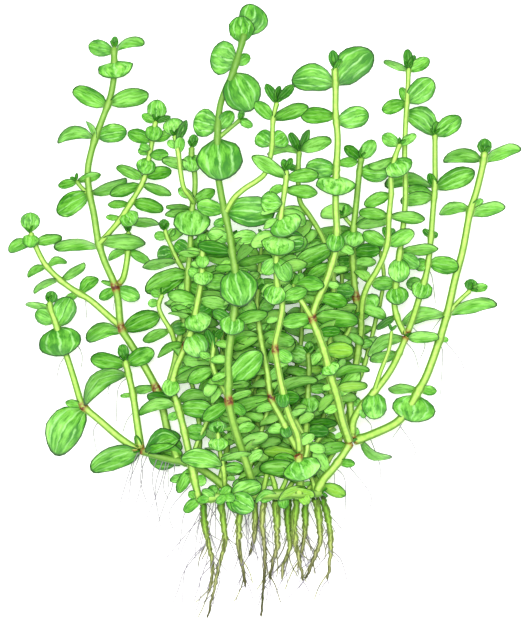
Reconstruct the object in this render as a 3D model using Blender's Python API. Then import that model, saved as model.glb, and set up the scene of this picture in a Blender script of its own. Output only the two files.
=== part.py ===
# A bunch of lindernia, an aquarium plant, lying on a surface with its shoot tips towards +Y.
# Run it with: blender --background --python part.py
#
# Every place is given on a drawing grid laid over the plant: x to the right, y down from the
# shoot tips to the root tips, and a height above the surface, all in grid units of UNIT metres.
# Each shoot is one solid: its stem, the leaves that grow from it, and its tip.

import math

import bmesh
import bpy
from mathutils import Vector
from mathutils.bvhtree import BVHTree

UNIT = 0.0003              # metres in one grid unit, so a 40 unit leaf is 12 mm long
MIDDLE = (265.0, 312.3)    # grid place of the footprint's middle, which is the origin

STEM_WIDE = 0.0019         # diameter of a main stem
STEM_FOOT = 0.55           # a stem's width where it leaves its parent, as a share of its own
STEM_TIP = 0.62            # and at its growing tip
TWIG_SHARE = 0.6           # a side twig's width as a share of its stem's
ROOT_WIDE = 0.0021         # diameter of a main root at the base
ROOT_TIP = 0.25            # a root's width at its tip, as a share of that
BLADE_THICK = 0.0007       # thickness in the middle of a leaf
BLADE_BROAD = 0.62         # a leaf is at least this broad for its length
BLADE_ARCH = 0.10          # how far a leaf bows along its length, as a share of the length
BLADE_CUP = 0.07           # how far its sides curl up, as a share of the width
BLADE_FOOT = 0.35          # how far a leaf's first edge is drawn in where it meets the stem
BLADE_END = 0.8            # and its last edge, at the tip
REST_ARCH = -0.22          # the bow of a leaf that lies on the surface
LEAST_LEAF = 15.0          # leaves seen shorter than this are too small for the solids
GAP = 0.0003               # clearance between neighbouring solids
STEM_STEP = 28.0           # grid units between the rings of a stem
STEM_SIDES = 4             # a lindernia stem is four-angled
ROOT_SIDES = 6
SLIVER = 0.0003            # edges shorter than this are closed up after a union
FINE_STEP = 1.5            # grid units between the points that clearances are taken from
REST = None                # a lift of REST lays the leaf's far half flat on the surface

# A leaf is (base x, base y, tip x, tip y, width, lift, bow): its width as seen from above, how
# far its tip rises above its base, and how far its middle bows to the left of its own direction.

SHOOTS = {}


def shoot(name, wide, stem, leaves, twigs=()):
    """Notes one shoot: its width as a share of a main stem, and its parts."""
    SHOOTS[name] = {"wide": wide, "stem": stem, "leaves": leaves, "twigs": twigs}


shoot("creeping_base", 1.3,
      [(196, 498, 50), (215, 496, 52), (240, 494, 54), (262, 494, 55), (285, 493, 55),
       (305, 493, 54), (322, 492, 52)],
      [(241, 494, 240, 513, 27, 10), (247, 494, 246, 476, 27, -8), (276, 494, 260, 500, 9, 0),
       (282, 494, 315, 493, 13, 8), (281, 494, 284, 508, 12, -4), (300, 493, 309, 503, 12, 4),
       (210, 497, 218, 487, 13, 8), (200, 497, 184, 511, 11, 2)])

shoot("left_arm", 1.1,
      [(231, 491, 54), (215, 478, 48), (200, 468, 42), (186, 462, 36), (170, 459, 31),
       (155, 455, 28), (140, 450, 24)],
      [(141, 451, 90, 470, 24, -8, 6), (145, 451, 183, 452, 18, 12), (146, 450, 181, 436, 20, 2),
       (152, 454, 181, 465, 9, -4), (140, 450, 136, 435, 7, 4), (186, 462, 217, 456, 20, 12)])

shoot("shoot_lower_left", 0.95,
      [(139, 451, 24), (120, 438, 20), (100, 421, 16), (87, 410, 14), (81, 403, 14),
       (74, 380, 15), (67, 358, 15), (60, 338, 16), (55, 322, 16), (50, 308, 17), (49, 301, 17)],
      [(50, 303, 53, 291, 13, 3), (49, 306, 25, 304, 7, 2), (55, 323, 35, 312, 17, -4),
       (60, 326, 70, 297, 24, -6), (61, 330, 63, 355, 42, 16), (82, 407, 65, 402, 8, 2),
       (83, 408, 58, 455, 37, REST)])

shoot("shoot_lower_left_inner", 1.0,
      [(141, 449, 24), (137, 422, 24), (133, 395, 24), (128, 372, 24), (125, 360, 24)],
      [(125, 365, 90, 359, 17, -4), (125, 361, 122, 344, 12, 4), (127, 366, 154, 350, 18, 6),
       (129, 373, 84, 404, 19, 4, -10), (134, 396, 120, 396, 5, 0)])

shoot("shoot_left_tall", 1.0,
      [(178, 460, 33), (168, 432, 24), (163, 410, 20), (156, 388, 18), (142, 362, 18),
       (130, 343, 18), (121, 327, 19), (118, 300, 21), (114, 283, 23), (104, 260, 24),
       (98, 240, 24), (94, 215, 24), (89, 190, 24), (88, 168, 24), (94, 142, 24), (102, 120, 24),
       (110, 98, 23), (114, 75, 21), (114, 56, 19), (114, 46, 18)],
      [(114, 48, 115, 36, 8, 2), (114, 51, 88, 45, 17, -2), (115, 52, 144, 43, 9, REST),
       (114, 62, 117, 79, 36, 16), (107, 105, 73, 89, 18, 4), (109, 104, 149, 94, 18, -3),
       (94, 138, 57, 142, 11, 0, 3), (95, 137, 127, 131, 19, 2), (92, 142, 86, 121, 6, 4, 3),
       (89, 192, 57, 213, 21, 8), (90, 193, 127, 179, 12, 0, 4), (98, 245, 54, 249, 12, REST),
       (100, 244, 146, 242, 16, 8), (121, 329, 86, 341, 16, REST), (122, 329, 160, 314, 20, 4),
       (115, 288, 99, 299, 11, -3), (116, 290, 140, 298, 16, 3), (115, 286, 101, 281, 5, 0),
       (156, 389, 132, 391, 9, 0), (158, 391, 176, 398, 12, -3), (77, 183, 58, 186, 9, 0),
       (78, 182, 101, 174, 9, 4)],
      [[(88, 194, 24), (81, 187, 25), (76, 180, 26)]])

shoot("shoot_left_inner", 0.75,
      [(99, 244, 24), (111, 231, 34), (121, 219, 40), (132, 202, 44), (143, 183, 46),
       (147, 168, 46), (151, 150, 44), (153, 138, 42), (156, 121, 40)],
      [(156, 122, 158, 100, 20, 4), (155, 123, 142, 115, 9, 2), (156, 123, 171, 117, 6, 0),
       (154, 127, 153, 142, 18, 10), (152, 141, 128, 133, 14, 2), (153, 141, 172, 133, 10, 0),
       (150, 153, 138, 151, 9, 3), (148, 160, 144, 175, 20, 9), (145, 179, 117, 167, 11, 3),
       (146, 176, 172, 171, 13, 0), (142, 186, 110, 195, 12, 0), (143, 186, 172, 195, 10, -3),
       (131, 205, 108, 205, 8, 2), (133, 202, 164, 210, 14, -2), (123, 212, 134, 226, 20, 9),
       (121, 219, 106, 217, 6, 2), (122, 222, 160, 224, 9, -6)])

shoot("shoot_left_small", 0.85,
      [(117, 285, 22), (123, 278, 14), (127, 258, 11), (128, 240, 10), (128, 231, 10)],
      [(127, 253, 108, 260, 8, 0, 3), (127, 253, 150, 262, 10, 2), (128, 234, 127, 220, 8, 2)])

shoot("shoot_far_left", 0.85,
      [(120, 326, 19), (113, 320, 18), (104, 312, 16), (90, 300, 14), (75, 291, 14),
       (60, 280, 14), (47, 267, 14), (41, 258, 14), (34, 243, 14), (30, 232, 14)],
      [(30, 233, 30, 212, 20, 0), (31, 235, 30, 248, 17, 10), (33, 243, 8, 252, 12, REST),
       (34, 242, 62, 237, 11, 2), (47, 267, 27, 277, 8, 0, -3), (48, 266, 67, 262, 8, 2, 4),
       (59, 281, 33, 293, 7, -2, 3), (61, 280, 85, 263, 9, 2, 2), (78, 295, 98, 278, 13, 2, -3),
       (75, 294, 65, 301, 8, 5)])

shoot("shoot_left_back", 0.85,
      [(163, 408, 22), (166, 396, 26), (170, 380, 32), (175, 362, 36), (178, 345, 38),
       (183, 325, 38), (187, 300, 38), (188, 275, 40), (190, 255, 42), (191, 235, 44),
       (192, 212, 46), (195, 192, 48), (195, 175, 48), (192, 158, 48), (192, 147, 48)],
      [(192, 149, 195, 135, 10, 3), (193, 155, 193, 173, 20, 9), (194, 169, 162, 160, 11, 0),
       (192, 209, 166, 207, 6, 4), (192, 212, 165, 215, 8, -4), (195, 204, 215, 190, 12, 0),
       (192, 210, 192, 237, 37, 14), (188, 272, 145, 291, 22, 4), (191, 252, 175, 243, 15, -8),
       (188, 282, 197, 299, 16, -8), (188, 284, 208, 293, 14, -5), (188, 282, 181, 297, 13, -8)])

shoot("shoot_left_twig", 0.7,
      [(187, 282, 34), (183, 270, 28), (178, 261, 24), (173, 250, 24), (167, 237, 24),
       (165, 229, 24)],
      [(165, 231, 163, 219, 11, 2), (167, 237, 154, 235, 10, 2), (167, 237, 175, 229, 8, 3),
       (175, 254, 157, 256, 19, -5), (177, 260, 142, 267, 10, 2)])

shoot("shoot_left_slim", 0.7,
      [(194, 203, 50), (190, 197, 60), (184, 188, 66), (181, 172, 68), (179, 155, 68),
       (175, 136, 66)],
      [(175, 138, 174, 119, 22, 2), (177, 145, 187, 121, 8, 2), (180, 155, 181, 138, 11, 6),
       (179, 150, 168, 142, 8, 0)])

shoot("shoot_left_forked", 0.7,
      [(176, 349, 40), (173, 335, 46), (169, 327, 48), (162, 315, 48), (159, 305, 48),
       (163, 294, 48)],
      [(170, 329, 143, 341, 11, 3), (160, 301, 148, 304, 9, 2), (162, 297, 151, 291, 9, 4),
       (171, 331, 187, 328, 13, -3), (163, 298, 163, 288, 8, 2)])

shoot("shoot_left_centre", 0.95,
      [(199, 497, 55), (195, 480, 58), (190, 455, 60), (184, 428, 60), (178, 405, 60),
       (173, 388, 61), (176, 369, 63), (182, 355, 65), (186, 345, 66), (192, 330, 70),
       (196, 312, 74), (199, 297, 76), (202, 280, 78), (203, 262, 80), (203, 246, 80)],
      [(203, 249, 204, 234, 13, 4), (203, 253, 178, 254, 7, 0), (203, 255, 233, 254, 8, 0),
       (203, 254, 203, 269, 14, 9), (203, 270, 205, 286, 21, 10), (202, 276, 189, 270, 12, -6),
       (202, 282, 231, 281, 17, 2), (199, 299, 168, 294, 13, 2), (199, 300, 229, 306, 14, 4),
       (196, 312, 201, 332, 28, 16), (196, 314, 171, 308, 12, -2), (195, 318, 189, 304, 9, 4),
       (194, 322, 169, 313, 5, 2, 2), (196, 315, 212, 306, 14, -6), (186, 345, 158, 357, 9, 3, -4),
       (191, 334, 202, 357, 26, 12), (190, 336, 213, 334, 10, -2), (173, 378, 169, 396, 18, 12),
       (174, 383, 219, 368, 15, 0), (175, 378, 195, 369, 14, -8), (177, 401, 147, 396, 13, -6),
       (178, 405, 139, 413, 13, 4, -5), (178, 403, 213, 398, 13, 6, 5), (179, 408, 214, 409, 19, 0),
       (180, 412, 168, 418, 9, 2), (185, 431, 207, 432, 17, -6), (192, 468, 178, 492, 12, 2),
       (193, 474, 170, 480, 10, -3), (195, 479, 207, 479, 12, 4)])

shoot("shoot_low_small", 0.7,
      [(225, 486, 52), (224, 470, 66), (221, 455, 72), (219, 440, 74), (218, 431, 74)],
      [(219, 438, 219, 450, 21, 9), (218, 433, 218, 420, 19, 0), (222, 461, 265, 444, 15, 4),
       (223, 466, 208, 460, 9, 0), (223, 466, 244, 467, 12, -3)])

shoot("shoot_tallest", 1.0,
      [(256, 494, 55), (248, 467, 68), (240, 443, 80), (233, 420, 90), (229, 399, 96),
       (229, 378, 100), (229, 355, 103), (233, 325, 105), (236, 300, 105), (236, 275, 104),
       (233, 255, 103), (230, 235, 101), (225, 212, 98), (221, 192, 94), (218, 170, 90),
       (218, 135, 84), (220, 110, 80), (225, 93, 77), (233, 75, 74), (240, 52, 71), (245, 34, 69)],
      [(245, 38, 253, 6, 28, -4), (243, 44, 241, 18, 26, 8), (237, 64, 211, 55, 33, -4),
       (237, 66, 250, 57, 12, -4), (234, 76, 251, 113, 38, 12), (219, 127, 194, 122, 29, -3),
       (219, 131, 233, 113, 15, -3), (218, 139, 222, 182, 44, 16), (239, 122, 253, 128, 9, 2),
       (240, 122, 243, 112, 7, 2), (225, 212, 197, 206, 17, -4), (226, 211, 275, 214, 31, 6),
       (231, 240, 208, 234, 14, 2), (231, 240, 257, 236, 15, 3), (233, 251, 198, 246, 13, -8),
       (236, 268, 215, 269, 8, 2), (236, 267, 272, 257, 9, 2), (236, 269, 242, 307, 38, 14),
       (233, 314, 231, 335, 26, 12), (233, 320, 268, 313, 13, 2), (233, 320, 213, 311, 12, -5),
       (229, 384, 262, 351, 25, 0), (229, 401, 203, 419, 14, -2), (229, 398, 252, 390, 8, 2),
       (230, 402, 246, 413, 11, -4), (224, 220, 214, 226, 9, 4)],
      [[(218, 140, 84), (229, 131, 86), (241, 121, 86)]])

shoot("shoot_inner_left", 0.7,
      [(229, 398, 94), (224, 388, 88), (217, 376, 84), (213, 363, 82), (214, 348, 80),
       (216, 336, 78)],
      [(214, 350, 207, 329, 10, 2), (215, 342, 222, 329, 8, 2), (214, 368, 188, 381, 14, 3),
       (214, 360, 200, 352, 9, 0)])

shoot("shoot_upper_centre", 0.75,
      [(226, 214, 98), (234, 200, 106), (245, 190, 108), (256, 183, 108), (265, 175, 106),
       (270, 160, 104), (272, 147, 102), (273, 122, 98), (277, 104, 96)],
      [(277, 105, 266, 86, 9, 2), (277, 104, 294, 87, 9, 0), (277, 106, 279, 88, 7, 4),
       (273, 121, 255, 104, 13, 0), (273, 121, 308, 108, 14, 2), (272, 146, 257, 136, 19, -6),
       (272, 146, 286, 137, 19, -6)])

shoot("centre_trunk", 1.15,
      [(299, 493, 55), (300, 478, 62), (299, 464, 67), (298, 452, 70)],
      [(298, 455, 263, 450, 13, 0), (299, 456, 306, 479, 39, 14), (299, 460, 273, 458, 14, -5),
       (299, 466, 259, 468, 17, -8)])

shoot("shoot_centre_plain", 0.85,
      [(298, 451, 70), (290, 435, 72), (280, 415, 73), (271, 397, 73), (267, 370, 73),
       (262, 345, 73), (259, 325, 73), (257, 305, 72), (258, 289, 72)],
      [(258, 292, 262, 278, 9, 2), (257, 308, 275, 303, 13, 0), (259, 328, 247, 325, 9, -3),
       (259, 328, 271, 326, 8, -3), (260, 336, 221, 348, 11, 6, -5), (260, 336, 295, 341, 16, 8),
       (260, 340, 247, 341, 8, -4), (271, 397, 226, 411, 14, 3), (271, 396, 318, 379, 13, 4, 5),
       (273, 398, 300, 397, 15, -8), (284, 422, 288, 437, 13, 5), (269, 380, 282, 368, 12, -4)])

shoot("shoot_centre_veined", 0.85,
      [(299, 450, 72), (297, 434, 84), (288, 412, 94), (282, 388, 100), (277, 362, 104),
       (275, 345, 107), (279, 325, 111), (282, 305, 114), (277, 285, 119), (276, 262, 122),
       (279, 240, 124), (281, 215, 124), (284, 195, 123), (286, 180, 122), (286, 172, 121)],
      [(286, 175, 283, 161, 8, 2), (286, 175, 291, 160, 7, 3), (285, 181, 252, 158, 14, 0),
       (285, 181, 318, 176, 14, 2), (284, 188, 269, 194, 9, 3), (284, 192, 317, 195, 13, -2),
       (281, 219, 291, 236, 34, 14), (278, 238, 277, 257, 34, 14), (279, 240, 304, 243, 20, -8),
       (276, 258, 289, 282, 18, 4), (276, 258, 263, 275, 15, 0), (279, 286, 272, 305, 23, 10),
       (276, 350, 292, 360, 14, -4), (282, 299, 307, 290, 14, 2), (283, 390, 283, 407, 14, 8)])

shoot("shoot_low_centre", 0.8,
      [(300, 455, 66), (305, 436, 50), (307, 410, 42), (308, 390, 40), (309, 370, 40),
       (308, 352, 40)],
      [(308, 395, 311, 413, 20, 10), (306, 425, 337, 422, 10, 3), (306, 430, 329, 431, 14, -4),
       (308, 389, 327, 387, 11, 0), (309, 372, 281, 369, 10, 2), (309, 370, 323, 369, 9, 4),
       (308, 358, 290, 352, 19, 4), (308, 355, 310, 341, 10, 2), (306, 427, 285, 424, 15, -6)])

shoot("right_trunk", 1.15,
      [(316, 492, 53), (323, 479, 50), (332, 469, 48), (341, 457, 46), (351, 441, 44)],
      [(349, 445, 317, 450, 13, 4), (337, 463, 355, 463, 9, -2), (320, 486, 346, 494, 13, 2)])

shoot("shoot_centre_tall", 1.0,
      [(349, 441, 46), (342, 420, 66), (337, 398, 80), (330, 375, 90), (324, 352, 96),
       (318, 335, 99), (312, 318, 100), (317, 300, 100), (325, 283, 100), (331, 265, 99),
       (335, 250, 98), (336, 230, 97), (335, 210, 96), (335, 190, 94), (336, 165, 91),
       (337, 140, 88), (335, 115, 85), (335, 90, 82), (334, 69, 80)],
      [(334, 72, 332, 52, 10, 2), (335, 76, 340, 61, 8, 4), (335, 87, 291, 82, 28, 4),
       (335, 88, 372, 53, 34, 4), (335, 118, 300, 117, 16, 2), (336, 121, 367, 113, 20, -2),
       (336, 165, 357, 163, 10, 0), (335, 172, 305, 169, 21, -6), (335, 179, 334, 197, 40, 14),
       (336, 234, 333, 253, 19, 9), (335, 246, 293, 266, 19, 4), (331, 266, 306, 278, 12, -2),
       (312, 317, 281, 323, 16, 0), (312, 317, 358, 320, 18, 6), (319, 298, 347, 303, 15, -6),
       (323, 350, 353, 351, 17, -4), (332, 378, 369, 369, 10, 3, 4), (334, 388, 367, 385, 11, -3),
       (327, 362, 333, 374, 20, 10), (316, 331, 340, 331, 11, -6)])

shoot("shoot_centre_small", 0.75,
      [(312, 319, 101), (307, 311, 104), (301, 301, 104), (295, 292, 103), (292, 284, 102)],
      [(293, 287, 324, 286, 16, -2), (292, 285, 303, 274, 9, 0), (292, 286, 297, 275, 8, 4),
       (300, 300, 286, 296, 9, -2)])

shoot("shoot_centre_slim", 0.8,
      [(348, 443, 44), (341, 425, 46), (333, 405, 52), (329, 380, 58), (329, 350, 62),
       (331, 320, 66), (333, 290, 68), (331, 265, 70), (322, 238, 72), (309, 216, 76),
       (300, 203, 80), (298, 185, 84), (298, 168, 86), (299, 152, 86)],
      [(299, 154, 290, 134, 9, 2), (299, 154, 309, 131, 8, 0), (299, 152, 331, 141, 14, 2),
       (299, 154, 267, 156, 9, 2, -5), (298, 172, 287, 167, 7, 0), (333, 290, 354, 292, 16, -6),
       (329, 360, 341, 346, 10, 2)])

shoot("shoot_right_centre", 0.95,
      [(352, 440, 44), (351, 420, 38), (350, 395, 36), (354, 375, 36), (358, 350, 38),
       (361, 325, 42), (357, 305, 46), (355, 292, 48), (353, 270, 50), (352, 250, 52),
       (353, 230, 54), (355, 212, 55), (357, 192, 56), (359, 172, 56), (361, 158, 56)],
      [(361, 160, 344, 147, 11, 2), (361, 160, 374, 141, 15, 0), (361, 160, 362, 147, 6, 3),
       (359, 169, 380, 180, 30, 12), (344, 217, 333, 211, 7, 0), (343, 217, 346, 205, 7, 2),
       (353, 229, 311, 236, 12, 2), (353, 228, 391, 220, 12, 0), (353, 231, 351, 248, 24, 10),
       (352, 252, 380, 250, 15, -2), (353, 262, 338, 262, 15, -5), (353, 260, 376, 263, 10, -5),
       (357, 298, 371, 315, 36, 14), (358, 308, 386, 318, 13, -4), (356, 297, 341, 287, 14, -5),
       (358, 345, 373, 343, 9, 0), (357, 352, 333, 353, 17, -2), (352, 428, 359, 434, 7, 3),
       (351, 400, 361, 402, 10, 2)],
      [[(353, 227, 54), (347, 221, 56), (343, 215, 56)]])

shoot("shoot_right_pair", 0.8,
      [(361, 320, 42), (362, 302, 56), (367, 286, 66), (376, 271, 72), (383, 256, 76),
       (387, 240, 79), (388, 217, 82), (390, 195, 84), (390, 175, 85), (394, 158, 85),
       (399, 145, 84)],
      [(398, 147, 381, 137, 14, 2), (398, 147, 415, 136, 9, 0), (394, 159, 367, 167, 9, 3, -4),
       (394, 160, 402, 177, 29, 12), (390, 194, 363, 206, 13, 2), (388, 217, 358, 213, 12, -2),
       (388, 217, 424, 220, 12, 0), (387, 240, 383, 227, 7, 2), (387, 240, 393, 229, 8, 2),
       (386, 246, 362, 233, 14, 4), (386, 246, 413, 232, 16, 2)])

shoot("right_upper_trunk", 1.0,
      [(352, 433, 44), (353, 420, 52), (361, 406, 56), (375, 390, 56), (386, 376, 54),
       (394, 363, 50), (400, 350, 46), (406, 336, 42)],
      [(374, 391, 374, 419, 25, 14), (362, 405, 363, 418, 9, 3), (405, 338, 367, 356, 14, 5, -5),
       (406, 338, 439, 337, 12, 0), (399, 353, 370, 361, 12, -12)],
      [[(373, 393, 56), (380, 371, 62), (388, 350, 64), (391, 330, 64)]])

shoot("shoot_right_inner", 0.8,
      [(405, 335, 42), (398, 321, 44), (394, 304, 46), (396, 280, 48), (399, 255, 50),
       (402, 232, 51), (404, 213, 52), (405, 190, 52), (404, 160, 52), (405, 125, 52),
       (407, 95, 51), (408, 68, 50)],
      [(408, 71, 407, 50, 10, 2), (408, 72, 414, 56, 7, 3), (408, 71, 383, 62, 7, 0),
       (408, 71, 429, 60, 13, 2), (407, 103, 433, 81, 24, -2), (407, 104, 381, 111, 14, 3),
       (407, 103, 400, 88, 9, -3), (399, 258, 398, 283, 22, 10), (400, 256, 419, 267, 15, -2),
       (395, 287, 398, 305, 23, 10), (395, 284, 371, 284, 15, 2), (400, 252, 438, 249, 11, -6),
       (396, 317, 376, 329, 8, 0)])

shoot("shoot_right_outer", 0.85,
      [(407, 333, 42), (412, 320, 32), (417, 305, 26), (421, 292, 24), (426, 275, 22),
       (429, 257, 22), (431, 237, 22), (433, 210, 22), (435, 185, 22), (435, 160, 22),
       (435, 134, 22)],
      [(435, 136, 406, 112, 24, -3), (435, 136, 461, 117, 19, 2), (435, 136, 437, 121, 8, 3),
       (434, 187, 385, 186, 13, REST), (435, 187, 475, 171, 20, 2), (434, 187, 429, 173, 9, 3),
       (434, 194, 407, 189, 12, -6), (434, 197, 400, 201, 14, 6), (431, 236, 423, 229, 7, 2),
       (431, 237, 438, 233, 7, 2), (428, 262, 459, 267, 18, 4), (428, 262, 413, 266, 14, 4),
       (422, 279, 419, 299, 22, 9), (423, 284, 406, 284, 15, -3)])

shoot("shoot_right_tall", 1.1,
      [(353, 441, 42), (375, 433, 34), (397, 422, 27), (410, 406, 22), (419, 390, 18),
       (427, 375, 16), (438, 345, 15), (447, 315, 16), (455, 280, 17), (463, 250, 17),
       (470, 213, 17), (477, 190, 17), (483, 165, 16), (485, 151, 16)],
      [(485, 154, 485, 138, 15, 4), (484, 161, 443, 160, 14, 3), (484, 161, 522, 149, 13, REST),
       (470, 209, 439, 214, 12, 2), (470, 212, 506, 208, 14, REST), (471, 208, 483, 199, 8, 3),
       (447, 316, 401, 325, 15, 4, -4), (448, 315, 498, 305, 14, REST), (470, 291, 473, 279, 14, 3),
       (470, 290, 488, 286, 9, 2), (419, 391, 388, 389, 10, -2), (420, 390, 437, 391, 10, 3),
       (417, 395, 411, 422, 44, 14), (359, 439, 392, 457, 10, -4, -5), (441, 338, 449, 340, 6, 0)],
      [[(448, 314, 16), (460, 300, 18), (471, 290, 18)]])

ROOTS = [
    [(203, 502, 44), (204, 520, 32), (208, 542, 16), (212, 566, 4), (209, 593, 1)],
    [(221, 501, 44), (223, 520, 34), (225, 541, 18), (219, 566, 4), (214, 590, 2), (207, 619, 1)],
    [(240, 500, 44), (239, 522, 34), (239, 546, 16), (242, 566, 4), (245, 588, 1)],
    [(254, 500, 42), (255, 522, 28), (254, 540, 12), (249, 557, 2)],
    [(264, 500, 44), (262, 525, 34), (265, 552, 16), (264, 580, 3), (261, 618, 1)],
    [(276, 500, 44), (277, 524, 34), (277, 548, 16), (272, 566, 4), (270, 582, 1)],
    [(288, 499, 42), (288, 522, 30), (290, 546, 14), (284, 564, 4), (282, 581, 1)],
    [(297, 499, 44), (294, 524, 38), (297, 550, 22), (301, 568, 6), (303, 582, 1)],
    [(306, 499, 42), (305, 518, 30), (305, 530, 18), (303, 546, 6), (299, 562, 1)],
    [(315, 498, 42), (319, 518, 32), (320, 540, 18), (313, 562, 5), (306, 580, 1)],
    [(322, 497, 40), (328, 518, 28), (331, 545, 12), (328, 581, 1)],
]


def place(x, y, height):
    """A point of the drawing grid in metres."""
    return Vector(((x - MIDDLE[0]) * UNIT, (MIDDLE[1] - y) * UNIT, height * UNIT))


def smooth_route(points, step):
    """A smooth line through grid points, as points about one step apart."""
    route = []
    ends = [points[0], *points, points[-1]]
    for a, b, c, d in zip(ends, ends[1:], ends[2:], ends[3:]):
        a, b, c, d = (Vector(p) for p in (a, b, c, d))
        pieces = max(1, round((c - b).length / step))
        for k in range(pieces):
            t = k / pieces
            bend = (2 * a - 5 * b + 4 * c - d) * t * t + (3 * (b - c) + d - a) * t ** 3
            route.append(b + (c - a) * t / 2 + bend / 2)
    return [*route, Vector(points[-1])]


def clear_of(route, reach, other, other_reach):
    """The route without its first points that lie inside another stem's reach."""
    start = 0
    for k, point in enumerate(route[: len(route) // 2]):
        near = min((point - q).length for q in other)
        if near * UNIT < reach + other_reach + GAP:
            start = k + 1
    return route[start:]


def thin_out(route, step):
    """The same route with fewer points, evenly spaced, its ends kept."""
    length = sum((b - a).length for a, b in zip(route, route[1:]))
    count = max(2, round(length / step) + 1)
    return [route[round(k * (len(route) - 1) / (count - 1))] for k in range(count)]


def straight_runs(corners, step):
    """Points about one step apart along the straight runs between a stem's rings."""
    points = []
    for a, b in zip(corners, corners[1:]):
        pieces = max(1, round((b - a).length / step))
        points += [a.lerp(b, k / pieces) for k in range(pieces)]
    return [*points, corners[-1]]


def material(name, colour, roughness):
    """A Principled material with one colour."""
    made = bpy.data.materials.new(name)
    made.use_nodes = True
    shader = made.node_tree.nodes["Principled BSDF"]
    shader.inputs["Base Color"].default_value = (*colour, 1.0)
    shader.inputs["Roughness"].default_value = roughness
    made.diffuse_color = (*colour, 1.0)
    return made


def mesh_of_tube(name, route, radius, start_share, end_share, sides):
    """A closed tube along grid points, tapered at both ends, as a mesh in metres."""
    curve = bpy.data.curves.new(name, "CURVE")
    curve.dimensions = "3D"
    curve.bevel_depth = radius
    curve.bevel_resolution = (sides - 4) // 2
    curve.use_fill_caps = True
    spline = curve.splines.new("POLY")
    spline.points.add(len(route) - 1)
    last = len(route) - 1
    for k, (point, target) in enumerate(zip(route, spline.points)):
        target.co = (*place(*point), 1.0)
        along = k / last
        target.radius = min(start_share + 4 * along, 1 + (end_share - 1) * along)
    tube = bpy.data.objects.new(name, curve)
    bpy.context.scene.collection.objects.link(tube)
    depsgraph = bpy.context.evaluated_depsgraph_get()
    mesh = bpy.data.meshes.new_from_object(tube.evaluated_get(depsgraph))
    bpy.data.objects.remove(tube)
    bpy.data.curves.remove(curve)
    bm = bmesh.new()
    bm.from_mesh(mesh)
    bmesh.ops.remove_doubles(bm, verts=bm.verts, dist=0.00001)
    bm.to_mesh(mesh)
    bm.free()
    return mesh


def blade(base, leaf, size, lift, side, grown, arch=BLADE_ARCH):
    """A thin closed leaf from a flattened sphere, bowed, cupped and turned; grown adds room."""
    tip = Vector((leaf[2], leaf[3], base.z))
    along = (tip - base) * size
    tip = base + along + Vector((0, 0, lift))
    length = (tip - base).length
    bow = leaf[6] * size if len(leaf) > 6 else 0.0
    width = leaf[4] * size
    broad = max(width, BLADE_BROAD * length)
    turn = side * math.acos(width / broad)
    flat = Vector((-along.y, along.x, 0)).normalized()
    if flat.y < 0:
        flat.negate()
    forward = (tip - base).normalized()
    across = (math.cos(turn) * flat - math.sin(turn) * forward.cross(flat)).normalized()
    if forward.cross(flat).z < 0:
        across = (math.cos(turn) * flat + math.sin(turn) * forward.cross(flat)).normalized()
    normal = forward.cross(across)
    if normal.z < 0:
        normal.negate()
    left = Vector((-along.y, along.x, 0)).normalized()
    middle = (base + tip) / 2 + left * bow * 2 + normal * arch * length * 2
    bm = bmesh.new()
    rim = 6 if length < 24 else 8 if length < 38 else 10
    bmesh.ops.create_uvsphere(bm, u_segments=rim, v_segments=2, radius=1.0)
    spare = grown / UNIT
    thick = BLADE_THICK / UNIT / 2 * min(1.0, 0.6 + length / 80)
    reach = max(vert.co.x for vert in bm.verts)
    for vert in bm.verts:
        t = (reach + vert.co.x) / (2 * reach)
        s = vert.co.y * (0.84 + 0.32 * t)
        if vert.co.x < 0.01 - reach:
            s *= BLADE_FOOT
        elif vert.co.x > reach - 0.01:
            s *= BLADE_END
        centre = base * (1 - t) ** 2 + middle * 2 * t * (1 - t) + tip * t * t
        raised = vert.co.z * (thick + spare) + BLADE_CUP * broad * s * s
        spread = s * (broad / 2 + spare)
        vert.co = centre + across * spread + normal * raised + forward * spare * vert.co.x
    if bm.calc_volume(signed=True) < 0:
        bmesh.ops.reverse_faces(bm, faces=bm.faces)
    return bm


def pressed(base, leaf, size):
    """A leaf whose far half lies flat on the surface."""
    bm = blade(base, leaf, size, -base.z - 1, 1, 0.0, REST_ARCH)
    thick = BLADE_THICK / UNIT
    poles = [v for v in bm.verts if len(v.link_edges) > 4]
    top = max(poles, key=lambda v: v.co.z)
    for vert in bm.verts:
        vert.co.z = max(vert.co.z, 0.0)
    bottom = next(v for v in poles if v is not top)
    top.co.z = bottom.co.z + thick
    return bm


def metres(bm):
    """Turns a bmesh on the drawing grid into metres."""
    for vert in bm.verts:
        vert.co = place(*vert.co)
    bmesh.ops.reverse_faces(bm, faces=bm.faces)
    return bm


def settled(base, leaf, others):
    """The leaf as drawn or, where it would meet another solid, lifted, turned or made smaller."""
    if len(leaf) > 5 and leaf[5] is REST:
        return metres(pressed(base, leaf, 1.0))
    wanted = leaf[5] if len(leaf) > 5 else 0
    for size in (1.0, 0.88, 0.76, 0.64, 0.52):
        for shift in (0, 5, -5, 10, -10, 16, -16, 22, -22):
            for side in (1, -1):
                trial = metres(blade(base, leaf, size, wanted + shift, side, GAP))
                low = min(vert.co.z for vert in trial.verts)
                tree = BVHTree.FromBMesh(trial)
                trial.free()
                if low > GAP / 2 and not any(tree.overlap(other) for other in others):
                    return metres(blade(base, leaf, size, wanted + shift, side, 0.0))
    return None


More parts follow.
